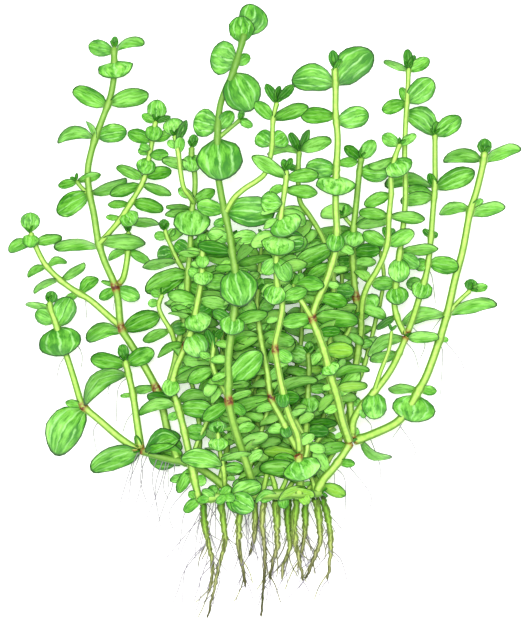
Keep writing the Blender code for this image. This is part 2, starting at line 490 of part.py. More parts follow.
def union(name, body, pieces, stuff, collection):
    """One closed solid from a stem and the leaves and twigs that grow from it."""
    solid = bpy.data.objects.new(name, body)
    collection.objects.link(solid)
    grown = bpy.data.collections.new(name + "_pieces")
    bpy.context.scene.collection.children.link(grown)
    for k, mesh in enumerate(pieces):
        grown.objects.link(bpy.data.objects.new(f"{name}_piece_{k}", mesh))
    if pieces:
        join = solid.modifiers.new("grown together", "BOOLEAN")
        join.operation = "UNION"
        join.operand_type = "COLLECTION"
        join.collection = grown
        join.solver = "EXACT"
        depsgraph = bpy.context.evaluated_depsgraph_get()
        mesh = bpy.data.meshes.new_from_object(solid.evaluated_get(depsgraph))
        solid.modifiers.clear()
        solid.data = without_slivers(mesh)
    for piece in list(grown.objects):
        bpy.data.objects.remove(piece)
    bpy.data.collections.remove(grown)
    solid.data.name = name
    solid.data.materials.clear()
    solid.data.materials.append(stuff)
    solid.data.shade_smooth()
    solid.data.set_sharp_from_angle(angle=math.radians(35))
    return solid


def without_slivers(mesh):
    """The mesh with its shortest edges closed up, wherever that leaves a sound surface."""
    bm = bmesh.new()
    bm.from_mesh(mesh)
    bmesh.ops.triangulate(bm, faces=bm.faces)
    for limit in (SLIVER / 3, SLIVER):
        for edge in [e for e in bm.edges if e.calc_length() < limit]:
            if not edge.is_valid or edge.calc_length() >= limit:
                continue
            a, b = edge.verts
            near_a = {e.other_vert(a) for e in a.link_edges}
            near_b = {e.other_vert(b) for e in b.link_edges}
            if len(near_a & near_b) == 2 and len(near_a | near_b) > 5:
                bmesh.ops.pointmerge(bm, verts=[b, a], merge_co=a.co)
    bm.to_mesh(mesh)
    bm.free()
    return mesh


def tree_of(mesh):
    """A search tree of a mesh, for clearances."""
    bm = bmesh.new()
    bm.from_mesh(mesh)
    tree = BVHTree.FromBMesh(bm)
    bm.free()
    return tree


def main():
    for old in list(bpy.data.objects):
        bpy.data.objects.remove(old)
    plant = bpy.data.collections.new("lindernia_bunch")
    bpy.context.scene.collection.children.link(plant)
    green = material("leaf_and_stem", (0.22, 0.55, 0.08), 0.45)
    brown = material("root_skin", (0.42, 0.44, 0.16), 0.60)

    routes = {}
    axes = {}
    stems = {}
    twigs = {}
    for name, grown in SHOOTS.items():
        radius = STEM_WIDE / 2 * grown["wide"]
        route = smooth_route(grown["stem"], FINE_STEP)
        for other, (points, reach) in routes.items():
            route = clear_of(route, radius * STEM_FOOT, points, reach)
        routes[name] = (route, radius)
        few = thin_out(route, STEM_STEP)
        axes[name] = straight_runs(few, FINE_STEP)[1:]
        stems[name] = mesh_of_tube(name, few, radius, STEM_FOOT, STEM_TIP, STEM_SIDES)
        twigs[name] = []
        for points in grown["twigs"]:
            few = thin_out(smooth_route(points, FINE_STEP), STEM_STEP)
            axes[name] += straight_runs(few, FINE_STEP)
            twigs[name].append(mesh_of_tube(name, few, radius * TWIG_SHARE, 1.0, 0.8, STEM_SIDES))

    roots = {}
    base_route, base_radius = routes["creeping_base"]
    for k, points in enumerate(ROOTS):
        route = clear_of(smooth_route(points, FINE_STEP), ROOT_WIDE / 2, base_route, base_radius)
        few = thin_out(route, STEM_STEP)
        roots[f"root_{k + 1:02d}"] = mesh_of_tube("root", few, ROOT_WIDE / 2, 1.0, ROOT_TIP, ROOT_SIDES)

    trees = {name: [tree_of(mesh)] for name, mesh in (stems | roots).items()}
    for name, grown in SHOOTS.items():
        trees[name] += [tree_of(mesh) for mesh in twigs[name]]

    waiting = []
    for name, grown in SHOOTS.items():
        for k, leaf in enumerate(grown["leaves"]):
            spot = Vector((leaf[0], leaf[1]))
            if (Vector((leaf[2], leaf[3])) - spot).length < LEAST_LEAF:
                continue
            base = min(axes[name], key=lambda p: (p.xy - spot).length)
            outward = (Vector((leaf[2], leaf[3])) - spot).normalized().to_3d()
            base = base - outward * (0.5 + 0.2 * (k % 3)) + Vector((0, 0, 0.15 * (k % 4) - 0.2))
            waiting.append((name, base, leaf))
    waiting.sort(key=lambda item: (item[2][5:6] != (REST,), -item[1].z))

    leaves = {name: [] for name in SHOOTS}
    for name, base, leaf in waiting:
        others = [tree for other, held in trees.items() if other != name for tree in held]
        bm = settled(base, leaf, others)
        if bm is None:
            print("no room for a leaf of", name, leaf)
            continue
        mesh = bpy.data.meshes.new("leaf")
        bm.to_mesh(mesh)
        trees[name].append(BVHTree.FromBMesh(bm))
        bm.free()
        leaves[name].append(mesh)

    for name in SHOOTS:
        union(name, stems[name], twigs[name] + leaves[name], green, plant)
    for name, mesh in roots.items():
        union(name, mesh, [], brown, plant)


main()
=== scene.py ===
# %% [markdown]
# # A bunch of lindernia
#
# Lindernia is a small aquarium plant. Its thin four-angled stems carry round leaves in opposite
# pairs, its joints blush red, and every joint can send hair-thin roots down into the water. The
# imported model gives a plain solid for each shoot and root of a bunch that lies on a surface. This
# lesson grows the living plant over those solids: leaves with veins and a cupped blade, ribbed
# stems, tapered roots and rootlets. Each new piece stands for one solid and keeps to its place.

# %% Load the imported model
import math
import random

import bmesh
import bpy
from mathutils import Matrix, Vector
from mathutils.bvhtree import BVHTree
from mathutils.kdtree import KDTree


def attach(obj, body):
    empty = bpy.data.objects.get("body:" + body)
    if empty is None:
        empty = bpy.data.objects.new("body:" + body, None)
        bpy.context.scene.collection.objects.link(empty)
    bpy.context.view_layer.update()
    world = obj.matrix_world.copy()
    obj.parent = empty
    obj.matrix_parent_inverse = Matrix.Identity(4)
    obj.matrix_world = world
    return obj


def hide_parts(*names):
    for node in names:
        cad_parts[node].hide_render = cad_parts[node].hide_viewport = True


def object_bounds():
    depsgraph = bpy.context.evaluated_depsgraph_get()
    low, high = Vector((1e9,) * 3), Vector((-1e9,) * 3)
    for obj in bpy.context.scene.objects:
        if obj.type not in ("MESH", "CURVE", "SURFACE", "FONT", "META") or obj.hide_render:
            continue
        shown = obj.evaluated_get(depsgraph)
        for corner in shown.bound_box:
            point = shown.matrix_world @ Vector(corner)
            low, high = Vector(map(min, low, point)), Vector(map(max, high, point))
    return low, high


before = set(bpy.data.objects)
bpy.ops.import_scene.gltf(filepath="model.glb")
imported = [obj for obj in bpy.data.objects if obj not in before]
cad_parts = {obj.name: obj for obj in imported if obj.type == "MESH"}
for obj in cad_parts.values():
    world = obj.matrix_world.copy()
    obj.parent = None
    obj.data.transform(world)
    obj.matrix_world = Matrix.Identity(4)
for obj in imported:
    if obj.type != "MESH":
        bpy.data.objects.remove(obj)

CAD_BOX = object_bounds()
print("solids", len(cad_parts), "box", CAD_BOX)

# %% [markdown]
# ## Two small helpers for materials
#
# A colour is easiest to read as the hex value that a paint program shows, but Blender's sockets
# want linear light, so one function turns one into the other. A second one adds a node with its
# settings and fills its inputs, which keeps each material below as short as a recipe. The kinds of
# node that come up again and again, such as a product or a blend, are noted once with their
# settings.

# %% Colours
def linear(hex_colour):
    """The linear RGBA of an sRGB hex colour such as 6BCB3E."""
    shares = [int(hex_colour[k:k + 2], 16) / 255 for k in (0, 2, 4)]
    return (*[s / 12.92 if s <= 0.04045 else ((s + 0.055) / 1.055) ** 2.4 for s in shares], 1.0)


print("leaf green 6BCB3E is", [round(c, 3) for c in linear("6BCB3E")])

# %% Kinds of node
TIMES = ("Math", {"operation": "MULTIPLY"})
TIMES_PLUS = ("Math", {"operation": "MULTIPLY_ADD"})
PLUS = ("Math", {"operation": "ADD"})
MINUS = ("Math", {"operation": "SUBTRACT"})
OVER = ("Math", {"operation": "DIVIDE"})
SQUARE_ROOT = ("Math", {"operation": "SQRT"})
LARGER = ("Math", {"operation": "MAXIMUM"})
UP_AND_DOWN = ("Math", {"operation": "PINGPONG"})
LENGTH = ("VectorMath", {"operation": "LENGTH"})
SMOOTH_STEP = ("MapRange", {"interpolation_type": "SMOOTHSTEP"})
BLEND = ("Mix", {"data_type": "RGBA"})
RAMP = ("ValToRGB", {})
NOISE = ("TexNoise", {})
BUMP = ("Bump", {})
POINT = ("CombineXYZ", {})
PLACE = ("TexCoord", {})
print("a product is a node of type", *TIMES)

# %% Adding nodes and materials
def fill(tree, target, *values, **named):
    """Fills a node's open inputs, in order or by name, from numbers, sockets or whole nodes."""
    sockets = dict(zip((i for i in target.inputs if i.enabled), values))
    sockets.update((target.inputs[name.replace("_", " ")], value) for name, value in named.items())
    for socket, value in sockets.items():
        if isinstance(value, bpy.types.Node):
            value = next(output for output in value.outputs if output.enabled)
        if isinstance(value, bpy.types.NodeSocket):
            tree.links.new(value, socket)
        else:
            socket.default_value = value


def node(tree, kind, *values, **named):
    """Adds a node of a kind, which is its type and settings, and fills its inputs."""
    made = tree.nodes.new("ShaderNode" + kind[0])
    for name, value in kind[1].items():
        setattr(made, name, value)
    fill(tree, made, *values, **named)
    return made


def paint(ramp, stops):
    """Gives a ramp its (place, hex colour) stops."""
    points = ramp.color_ramp.elements
    while len(points) < len(stops):
        points.new(0.5)
    for point, (spot, hex_colour) in zip(points, stops):
        point.position = spot
        point.color = linear(hex_colour)


def new_material(name):
    """A material, its node tree and its shader."""
    made = bpy.data.materials.new(name)
    made.use_nodes = True
    return made, made.node_tree, made.node_tree.nodes["Principled BSDF"]


print("helpers:", ", ".join(made.__name__ for made in (fill, node, paint, new_material)))

# %% [markdown]
# ## Leaf tissue
#
# A lindernia leaf is thin, soft green tissue under a faint wax, with three to seven pale veins
# that leave the base together, curve apart and meet again at the tip. Painting those veins by
# hand would take a picture for each leaf. Here each leaf carries a small map instead: U runs from
# base to tip and V from side to side over a round blade. Dividing V by the blade's half-width at
# that U gives a number that stays the same all along one vein, so evenly spaced lines of it are
# the veins. A point attribute named look adds what differs from leaf to leaf: its tone, how
# strongly its veins show, how yellow it is, and a seed that shifts the mottling. On the map, 1 is
# the way from the middle of a leaf to its tip.

# %% Sizes and greens of a leaf
LIGHT_REACH = 0.0005               # metres that green light travels inside a leaf
REACH_BY_COLOUR = (0.5, 1.0, 0.2)  # red and blue travel less far than green
HALF_LEAF = 6.0                    # millimetres from the middle of a typical leaf to its tip
CLOUD_WIDE = 5.0                   # millimetres across a soft cloud of the mottling
STROKE_LONG = 3.75                 # millimetres along a fine stroke of the mottling
STROKE_WIDE = 1.2                  # and across it
CLOUD_SHIFT = 31.0                 # how far the clouds of two leaves can be moved apart
STROKE_SHIFT = 57.0                # and their strokes
MAP_EDGE = 1.03                    # just past the tip, because a blade of no width has no vein number
VEINS_TO_THE_EDGE = 1.7            # veins between the midrib and the margin of one half
VEIN_STRAY = 0.44                  # how far a vein strays in all, as a share of the half-width
PAINTED_LIGHT_LEAN = 0.5                # how much one side of a leaf may be painted paler than the other, as painted light
CLOUD_DEPTH = 0.9                  # how much darker or paler the clouds make the green
STROKE_DEPTH = (0.5, 0.45)         # and the strokes, with full veins and with none
DARK_STROKES = (0.46, 0.36)        # noise at which a dark stroke begins, and at which it is full
DARK_SHARE = (0.6, 0.1)            # share of dark in it, with full veins and with none
VEIN_EDGES = (0.15, 0.02)          # distances from its middle at which a vein begins and is full
VEIN_BREAKS = (0.36, 0.54)         # noise at which a vein is broken, and at which it is whole
WASH_EDGES = (0.45, 0.95)          # distances from a leaf's middle over which a darker wash sets in
WASH_CLOUDS = (0.62, 0.4)          # clouds at which it begins and is full
RIM_EDGES = (0.89, 0.96)           # distances from the middle where the dark rim begins and is full
FOOT_SHADE_EDGES = (-0.5, -0.95)         # and the places along the leaf for the painted shade at its foot
FULL = 0.95                        # share of colour in a full vein or rim
WASH_SHARE = 0.75                  # in the wash
FOOT_SHADE_SHARE = 0.5                   # and in the painted shade at the foot
RELIEF = (0.6, 0.4)                # how far strokes stand out and veins lie in
LEAF_GREENS = [(0.0, "1E7004"), (0.25, "3C8A0E"), (0.5, "60AC2E"), (0.75, "78C246"), (1.0, "9CDE6C")]
YELLOW_LEAF = "94C83C"
STROKE_GREEN = "2C7E0C"
VEIN_GREEN = "9ED682"
# the dark green of the rim, also used for the painted shade at a leaf's foot
MARGIN_AND_FOOT_SHADE_GREEN = "16400A"
print("strokes to a leaf's length", 2 * HALF_LEAF / STROKE_LONG, "and breadth", 2 * HALF_LEAF / STROKE_WIDE)

# %% Leaf material
def look_channels(tree):
    """The four numbers of the look attribute, as sockets."""
    look = node(tree, ("Attribute", {"attribute_name": "look"}))
    parts = node(tree, ("SeparateColor", {}), look)
    return [*parts.outputs[:3], look.outputs["Alpha"]]


def leaf_tissue():
    """Leaf blade: waxed tissue, so it is mottled, veined, dark at the margin and half matt, with painted
    shade at its foot and painted light on one half.
    """
    made, tree, shader = new_material("lindernia_leaf_tissue")
    tone, veined, yellow, seed = look_channels(tree)
    chart = node(tree, ("SeparateXYZ", {}), node(tree, ("UVMap", {"uv_map": "blade"})))
    along, aside = (node(tree, TIMES_PLUS, way, 2.0, -1.0) for way in chart.outputs[:2])

    # Clouds are the broad mottling, and they lead the veins a little astray
    room = node(tree, MINUS, MAP_EDGE, node(tree, TIMES, along, along))
    vein_number = node(tree, OVER, aside, node(tree, SQUARE_ROOT, room))
    spot = node(tree, POINT, along, aside, node(tree, TIMES, seed, CLOUD_SHIFT))
    cloud = node(tree, NOISE, spot, Scale=HALF_LEAF / CLOUD_WIDE, Detail=2.0, Roughness=0.5)
    line = node(tree, PLUS, vein_number, node(tree, TIMES_PLUS, cloud, VEIN_STRAY, -VEIN_STRAY / 2))
    folded = node(tree, UP_AND_DOWN, node(tree, TIMES, line, VEINS_TO_THE_EDGE), 0.5)

    # Strokes are the fine mottling, drawn out along the veins
    stroke_along = node(tree, TIMES, along, HALF_LEAF / STROKE_LONG)
    stroke_aside = node(tree, TIMES, line, HALF_LEAF / STROKE_WIDE)
    spot = node(tree, POINT, stroke_along, stroke_aside, node(tree, TIMES, seed, STROKE_SHIFT))
    strokes = node(tree, NOISE, spot, Scale=1.0, Detail=4.0, Roughness=0.65)

    # The depth of the green is the leaf's tone, stirred by both and by painted light that makes one half
    # paler
    patch = node(tree, TIMES_PLUS, strokes, 2.0, -1.0)
    depth = node(tree, TIMES_PLUS, patch, node(tree, TIMES_PLUS, veined, *STROKE_DEPTH), tone)
    depth = node(tree, TIMES_PLUS, node(tree, MINUS, cloud, 0.5), CLOUD_DEPTH, depth)
    painted_lean = node(tree, TIMES_PLUS, seed, PAINTED_LIGHT_LEAN, -PAINTED_LIGHT_LEAN / 2)
    green = node(tree, RAMP, node(tree, TIMES_PLUS, aside, painted_lean, depth))
    paint(green, LEAF_GREENS)
    green = node(tree, BLEND, yellow, green, linear(YELLOW_LEAF))
    dark = node(tree, TIMES, node(tree, SMOOTH_STEP, strokes, *DARK_STROKES),
                node(tree, TIMES_PLUS, veined, *DARK_SHARE))
    green = node(tree, BLEND, dark, green, linear(STROKE_GREEN))

    # Pale veins, broken where a stroke crosses them
    vein = node(tree, SMOOTH_STEP, folded, *VEIN_EDGES)
    broken = node(tree, TIMES, node(tree, SMOOTH_STEP, strokes, *VEIN_BREAKS), FULL)
    share = node(tree, TIMES, node(tree, TIMES, vein, broken), veined)
    green = node(tree, BLEND, share, green, linear(VEIN_GREEN))

    # A darker wash towards the margin, a dark rim, and painted shade at the foot
    from_middle = node(tree, LENGTH, node(tree, POINT, along, aside))
    wash = node(tree, TIMES, node(tree, SMOOTH_STEP, from_middle, *WASH_EDGES),
                node(tree, SMOOTH_STEP, cloud, *WASH_CLOUDS))
    green = node(tree, BLEND, node(tree, TIMES, wash, WASH_SHARE), green, linear(STROKE_GREEN))
    rim = node(tree, TIMES, node(tree, SMOOTH_STEP, from_middle, *RIM_EDGES), FULL)
    foot = node(tree, TIMES, node(tree, SMOOTH_STEP, along, *FOOT_SHADE_EDGES), FOOT_SHADE_SHARE)
    green = node(tree, BLEND, node(tree, LARGER, rim, foot), green, linear(MARGIN_AND_FOOT_SHADE_GREEN))

    height = node(tree, MINUS, node(tree, TIMES, strokes, RELIEF[0]), node(tree, TIMES, vein, RELIEF[1]))
    bump = node(tree, BUMP, Height=height, Strength=0.35, Distance=0.0003)
    fill(tree, shader, Base_Color=green, Normal=bump, Roughness=0.5, Specular_IOR_Level=0.3,
         Subsurface_Weight=0.5, Subsurface_Radius=REACH_BY_COLOUR, Subsurface_Scale=LIGHT_REACH)
    return made


LEAF_TISSUE = leaf_tissue()
print("made", LEAF_TISSUE.name, "of", len(LEAF_TISSUE.node_tree.nodes), "nodes")

# %% [markdown]
# ## Stem tissue, root skin and rootlet fibre
#
# The stem is the same soft tissue with far less green in it: pale yellow-green between four
# darker ribs, and flushed red-brown at the joints, where the plant makes its own pigment and the
# core is darkest. The look attribute tells the shader where the ribs and the flush are, and how
# much shade the stem lies in. A root starts as pale as the stem and ages to olive-brown, with dark
# streaks of old skin along it. Rootlets are single pale strands, too thin for a pattern, so they
# get only a slow change of tone along the bunch.

# %% Stem material
STEM_GRAIN = 0.0011                # metres across one soft blotch of stem tissue
GRAIN_SPREAD = (0.9, -0.1)         # how the grain is spread over the greens, as a factor and a shift
RIB_EDGES = (0.3, 0.9)             # how far out a rib begins, and where it is full
RIB_SHARE = 0.9                    # share of dark green in it
FLUSH_GRAIN = (0.25, 0.6)          # grain at which the red begins, and at which it is full
CORE_FLUSH = (0.75, 1.0)           # flush at which the dark core begins, and at which it is full
CORE_GRAIN = (0.42, 0.6)           # and the grain
STEM_GREENS = [(0.2, "98C850"), (0.5, "B2DA62"), (0.8, "CCE68A")]
RIB_GREEN = "4A7A20"
SHADED_STEM = "4C8420"
JOINT_RED = "8A3A1E"
JOINT_CORE = "4A1A0A"


def stem_tissue():
    """Stem: soft waxed tissue, pale with darker ribs, shaded by its tone and flushed at the joints."""
    made, tree, shader = new_material("lindernia_stem_tissue")
    tone, rib, flush, _ = look_channels(tree)
    grain = node(tree, NOISE, node(tree, PLACE).outputs["Object"], Scale=1 / STEM_GRAIN, Detail=3.0)
    pale = node(tree, RAMP, node(tree, TIMES_PLUS, grain, *GRAIN_SPREAD))
    paint(pale, STEM_GREENS)
    edge = node(tree, TIMES, node(tree, SMOOTH_STEP, rib, *RIB_EDGES), RIB_SHARE)
    colour = node(tree, BLEND, edge, pale, linear(RIB_GREEN))
    colour = node(tree, BLEND, node(tree, MINUS, 1.0, tone), colour, linear(SHADED_STEM))
    red = node(tree, TIMES, flush, node(tree, SMOOTH_STEP, grain, *FLUSH_GRAIN))
    colour = node(tree, BLEND, red, colour, linear(JOINT_RED))
    core = node(tree, TIMES, node(tree, SMOOTH_STEP, flush, *CORE_FLUSH),
                node(tree, SMOOTH_STEP, grain, *CORE_GRAIN))
    colour = node(tree, BLEND, core, colour, linear(JOINT_CORE))
    bump = node(tree, BUMP, Height=grain, Strength=0.2, Distance=0.0002)
    fill(tree, shader, Base_Color=colour, Normal=bump, Roughness=0.45, Specular_IOR_Level=0.35)
    return made


STEM_TISSUE = stem_tissue()
print("made", STEM_TISSUE.name)

# %% Root and rootlet materials
STREAK_WIDE = 0.0007               # metres across a streak of old root skin
STREAK_LONG = 0.006                # and along it
STREAK_DEPTH = 0.3                 # how much older or younger a streak makes the skin
OLD_STREAKS = (0.5, 0.58)          # noise at which old skin begins, and at which it is full
OLD_SHARE = 0.85                   # share of old skin there and on the ribs
ROOT_SKINS = [(0.0, "4E9416"), (0.25, "96C648"), (0.5, "B4C66C"), (0.75, "AAAE74"), (1.0, "5C583A")]
OLD_ROOT = "343F14"
FIBRE_CHANGE = 0.02                # metres over which a strand's grey changes
FIBRE_GREYS = [(0.35, "7E7A82"), (0.65, "96929C")]


def root_skin():
    """Main root: pale skin that ages to olive-brown, dull and streaked along its length."""
    made, tree, shader = new_material("lindernia_root_skin")
    age, rib, _, _ = look_channels(tree)
    drawn_out = node(tree, ("Mapping", {}), node(tree, PLACE).outputs["Object"],
                     Scale=(1 / STREAK_WIDE, 1 / STREAK_LONG, 1 / STREAK_LONG))
    streaks = node(tree, NOISE, drawn_out, Scale=1.0, Detail=4.0, Roughness=0.7)
    youngest = node(tree, MINUS, age, STREAK_DEPTH / 2)
    skin = node(tree, RAMP, node(tree, TIMES_PLUS, streaks, STREAK_DEPTH, youngest))
    paint(skin, ROOT_SKINS)
    old = node(tree, TIMES, node(tree, SMOOTH_STEP, streaks, *OLD_STREAKS), OLD_SHARE)
    worn = node(tree, LARGER, old, node(tree, TIMES, rib, OLD_SHARE))
    skin = node(tree, BLEND, worn, skin, linear(OLD_ROOT))
    bump = node(tree, BUMP, Height=streaks, Strength=0.5, Distance=0.0003)
    fill(tree, shader, Base_Color=skin, Normal=bump, Roughness=0.7, Specular_IOR_Level=0.2)
    return made


def rootlet_fibre():
    """Rootlet: a single pale grey strand of bare cells, which looks silky."""
    made, tree, shader = new_material("lindernia_rootlet_fibre")
    slow = node(tree, NOISE, node(tree, PLACE).outputs["Object"], Scale=1 / FIBRE_CHANGE, Detail=2.0)
    grey = node(tree, RAMP, slow)
    paint(grey, FIBRE_GREYS)
    fill(tree, shader, Base_Color=grey, Roughness=0.6, Specular_IOR_Level=0.3)
    return made


ROOT_SKIN = root_skin()
ROOTLET_FIBRE = rootlet_fibre()
print("made", ROOT_SKIN.name, ROOTLET_FIBRE.name)

# %% [markdown]
# ## The drawing grid and the plant's plan
#
# The plant is planned on a grid laid over it: x runs to the right, y from the shoot tips to the
# root tips, and the third number is the height above the surface, all in grid units of 0.3 mm.
# Each shoot is a line of stem points and a list of leaves. A leaf is written as (base x, base y,
# tip x, tip y, width, lift, bow): its width as seen from above, how far its tip rises above its
# base, and how far the middle of its solid bows to the left. An eighth number is the living leaf's
# own bow where that differs. The lines are the same as the solids', so what grows on them stays
# where the solids are.

# %% The grid
UNIT = 0.0003                      # metres in one grid unit, so a 40 unit leaf is 12 mm long
MIDDLE = (265.0, 312.3)            # grid place of the model's origin
STEM_WIDE = 0.0019 / UNIT          # diameter of a main stem
ROOT_WIDE = 0.0021 / UNIT          # diameter of a main root at the base
REST = None                        # a lift of REST lays the leaf's far half on the surface
BASE, TIP = slice(0, 2), slice(2, 4)       # where a leaf's numbers are
WIDTH, LIFT, BOW = 4, 5, 6
SHOOTS = {}


def metres(point):
    """A point of the drawing grid in metres."""
    return Vector(((point[0] - MIDDLE[0]) * UNIT, (MIDDLE[1] - point[1]) * UNIT, point[2] * UNIT))


def on_grid(point):
    """A point in metres on the drawing grid."""
    return Vector((point[0] / UNIT + MIDDLE[0], MIDDLE[1] - point[1] / UNIT, point[2] / UNIT))


def shoot(name, wide, stem, leaves, twigs=()):
    """Notes one shoot: its width as a share of a main stem, and its parts."""
    SHOOTS[name] = {"wide": wide, "stem": stem, "leaves": leaves, "twigs": twigs}


print("the box on the grid runs from", on_grid(CAD_BOX[0]), "to", on_grid(CAD_BOX[1]))

# %% The plan of the shoots and roots
shoot("creeping_base", 1.3,
      [(196, 498, 50), (215, 496, 52), (240, 494, 54), (262, 494, 55), (285, 493, 55),
       (305, 493, 54), (322, 492, 52)],
      [(241, 494, 240, 513, 27, 10), (247, 494, 246, 476, 27, -8), (276, 494, 260, 500, 9, 0),
       (282, 494, 315, 493, 13, 8), (281, 494, 284, 508, 12, -4), (300, 493, 309, 503, 12, 4),
       (210, 497, 218, 487, 13, 8), (200, 497, 184, 511, 11, 2)])

shoot("left_arm", 1.1,
      [(231, 491, 54), (215, 478, 48), (200, 468, 42), (186, 462, 36), (170, 459, 31),
       (155, 455, 28), (140, 450, 24)],
      [(141, 451, 90, 470, 24, -8, 6, 2), (145, 451, 183, 452, 18, 12), (146, 450, 181, 436, 20, 2),
       (152, 454, 181, 465, 9, -4), (140, 450, 136, 435, 7, 4), (186, 462, 217, 456, 20, 12)])

shoot("shoot_lower_left", 0.95,
      [(139, 451, 24), (120, 438, 20), (100, 421, 16), (87, 410, 14), (81, 403, 14),
       (74, 380, 15), (67, 358, 15), (60, 338, 16), (55, 322, 16), (50, 308, 17), (49, 301, 17)],
      [(50, 303, 53, 291, 13, 3), (49, 306, 25, 304, 7, 2), (55, 323, 35, 312, 17, -4),
       (60, 326, 70, 297, 24, -6), (61, 327, 63, 356, 43, 16), (82, 407, 65, 402, 8, 2),
       (83, 408, 54, 456, 37, REST, 7)])

shoot("shoot_lower_left_inner", 1.0,
      [(141, 449, 24), (137, 422, 24), (133, 395, 24), (128, 372, 24), (125, 360, 24)],
      [(125, 365, 90, 359, 17, -4), (125, 361, 122, 344, 12, 4), (127, 366, 154, 350, 18, 6),
       (129, 373, 84, 404, 19, 4, -10, 10), (134, 396, 120, 396, 5, 0)])

shoot("shoot_left_tall", 1.0,
      [(178, 460, 33), (168, 432, 24), (163, 410, 20), (156, 388, 18), (142, 362, 18),
       (130, 343, 18), (121, 327, 19), (118, 300, 21), (114, 283, 23), (104, 260, 24),
       (98, 240, 24), (94, 215, 24), (89, 190, 24), (88, 168, 24), (94, 142, 24), (102, 120, 24),
       (110, 98, 23), (114, 75, 21), (114, 56, 19), (114, 46, 18)],
      [(114, 48, 115, 36, 8, 2), (114, 51, 88, 45, 17, -2), (115, 52, 144, 43, 9, REST),
       (114, 62, 117, 79, 36, 16), (107, 105, 73, 89, 18, 4), (109, 104, 149, 94, 18, -3),
       (94, 138, 57, 142, 13, 0, 3, 8), (95, 137, 127, 131, 19, 2), (92, 142, 86, 121, 6, 4, 3),
       (89, 192, 57, 213, 21, 8), (90, 193, 127, 179, 12, 0, 4), (98, 245, 54, 249, 12, REST, 0, -5),
       (100, 244, 146, 242, 16, 8), (121, 329, 86, 341, 16, REST), (122, 329, 160, 314, 20, 4),
       (115, 288, 99, 299, 11, -3), (116, 290, 140, 298, 16, 3), (115, 286, 101, 281, 5, 0),
       (156, 389, 132, 391, 9, 0), (158, 391, 176, 398, 12, -3), (77, 183, 58, 186, 9, 0),
       (78, 182, 101, 174, 9, 4)],
      [[(88, 194, 24), (81, 187, 25), (76, 180, 26)]])

shoot("shoot_left_inner", 0.75,
      [(99, 244, 24), (111, 231, 34), (121, 219, 40), (132, 202, 44), (143, 183, 46),
       (147, 168, 46), (151, 150, 44), (153, 138, 42), (156, 121, 40)],
      [(156, 122, 158, 100, 20, 4), (155, 123, 142, 115, 9, 2), (156, 123, 171, 117, 6, 0),
       (154, 127, 153, 142, 18, 10), (152, 141, 128, 133, 14, 2), (153, 141, 172, 133, 10, 0),
       (150, 153, 138, 151, 9, 3), (148, 160, 144, 175, 20, 9), (145, 179, 117, 167, 11, 3),
       (146, 176, 172, 171, 13, 0), (142, 186, 110, 195, 12, 0), (143, 186, 172, 195, 10, -3),
       (131, 205, 108, 205, 8, 2), (133, 202, 164, 210, 14, -2), (123, 212, 134, 226, 20, 9),
       (121, 219, 106, 217, 6, 2), (122, 222, 160, 224, 9, -6)])

shoot("shoot_left_small", 0.85,
      [(117, 285, 22), (123, 278, 14), (127, 258, 11), (128, 240, 10), (128, 231, 10)],
      [(127, 253, 108, 260, 8, 0, 3), (127, 253, 150, 262, 10, 2), (128, 234, 127, 220, 8, 2)])

shoot("shoot_far_left", 0.85,
      [(120, 326, 19), (113, 320, 18), (104, 312, 16), (90, 300, 14), (75, 291, 14),
       (60, 280, 14), (47, 267, 14), (41, 258, 14), (34, 243, 14), (30, 232, 14)],
      [(30, 233, 30, 212, 20, 0), (31, 235, 30, 248, 17, 10), (33, 243, 8, 252, 12, REST),
       (34, 242, 62, 237, 11, 2), (47, 267, 27, 277, 8, 0, -3, 3), (48, 266, 67, 262, 8, 2, 4, -4),
       (59, 281, 33, 293, 7, -2, 3), (61, 280, 85, 263, 9, 2, 2), (78, 295, 98, 278, 13, 2, -3),
       (75, 294, 65, 301, 8, 5)])

shoot("shoot_left_back", 0.85,
      [(163, 408, 22), (166, 396, 26), (170, 380, 32), (175, 362, 36), (178, 345, 38),
       (183, 325, 38), (187, 300, 38), (188, 275, 40), (190, 255, 42), (191, 235, 44),
       (192, 212, 46), (195, 192, 48), (195, 175, 48), (192, 158, 48), (192, 147, 48)],
      [(192, 149, 195, 135, 10, 3), (193, 155, 193, 173, 20, 9), (194, 169, 162, 160, 11, 0),
       (192, 209, 166, 207, 6, 4), (192, 212, 165, 215, 8, -4), (195, 204, 215, 190, 12, 0),
       (192, 210, 192, 237, 37, 14), (188, 272, 145, 291, 22, 4), (191, 252, 175, 243, 15, -8),
       (188, 282, 197, 299, 16, -8), (188, 284, 208, 293, 14, -5), (188, 282, 181, 297, 13, -8)])

shoot("shoot_left_twig", 0.7,
      [(187, 282, 34), (183, 270, 28), (178, 261, 24), (173, 250, 24), (167, 237, 24),
       (165, 229, 24)],
      [(165, 231, 163, 219, 11, 2), (167, 237, 154, 235, 10, 2), (167, 237, 175, 229, 8, 3),
       (175, 254, 157, 256, 19, -5), (177, 260, 142, 267, 10, 2)])

shoot("shoot_left_slim", 0.7,
      [(194, 203, 50), (190, 197, 60), (184, 188, 66), (181, 172, 68), (179, 155, 68),
       (175, 136, 66)],
      [(175, 138, 174, 119, 22, 2), (177, 145, 187, 121, 8, 2), (180, 155, 181, 138, 11, 6),
       (179, 150, 168, 142, 8, 0)])

shoot("shoot_left_forked", 0.7,
      [(176, 349, 40), (173, 335, 46), (169, 327, 48), (162, 315, 48), (159, 305, 48),
       (163, 294, 48)],
      [(170, 329, 143, 341, 11, 3), (160, 301, 148, 304, 9, 2), (162, 297, 151, 291, 9, 4),
       (171, 331, 187, 328, 13, -3), (163, 298, 163, 288, 8, 2)])

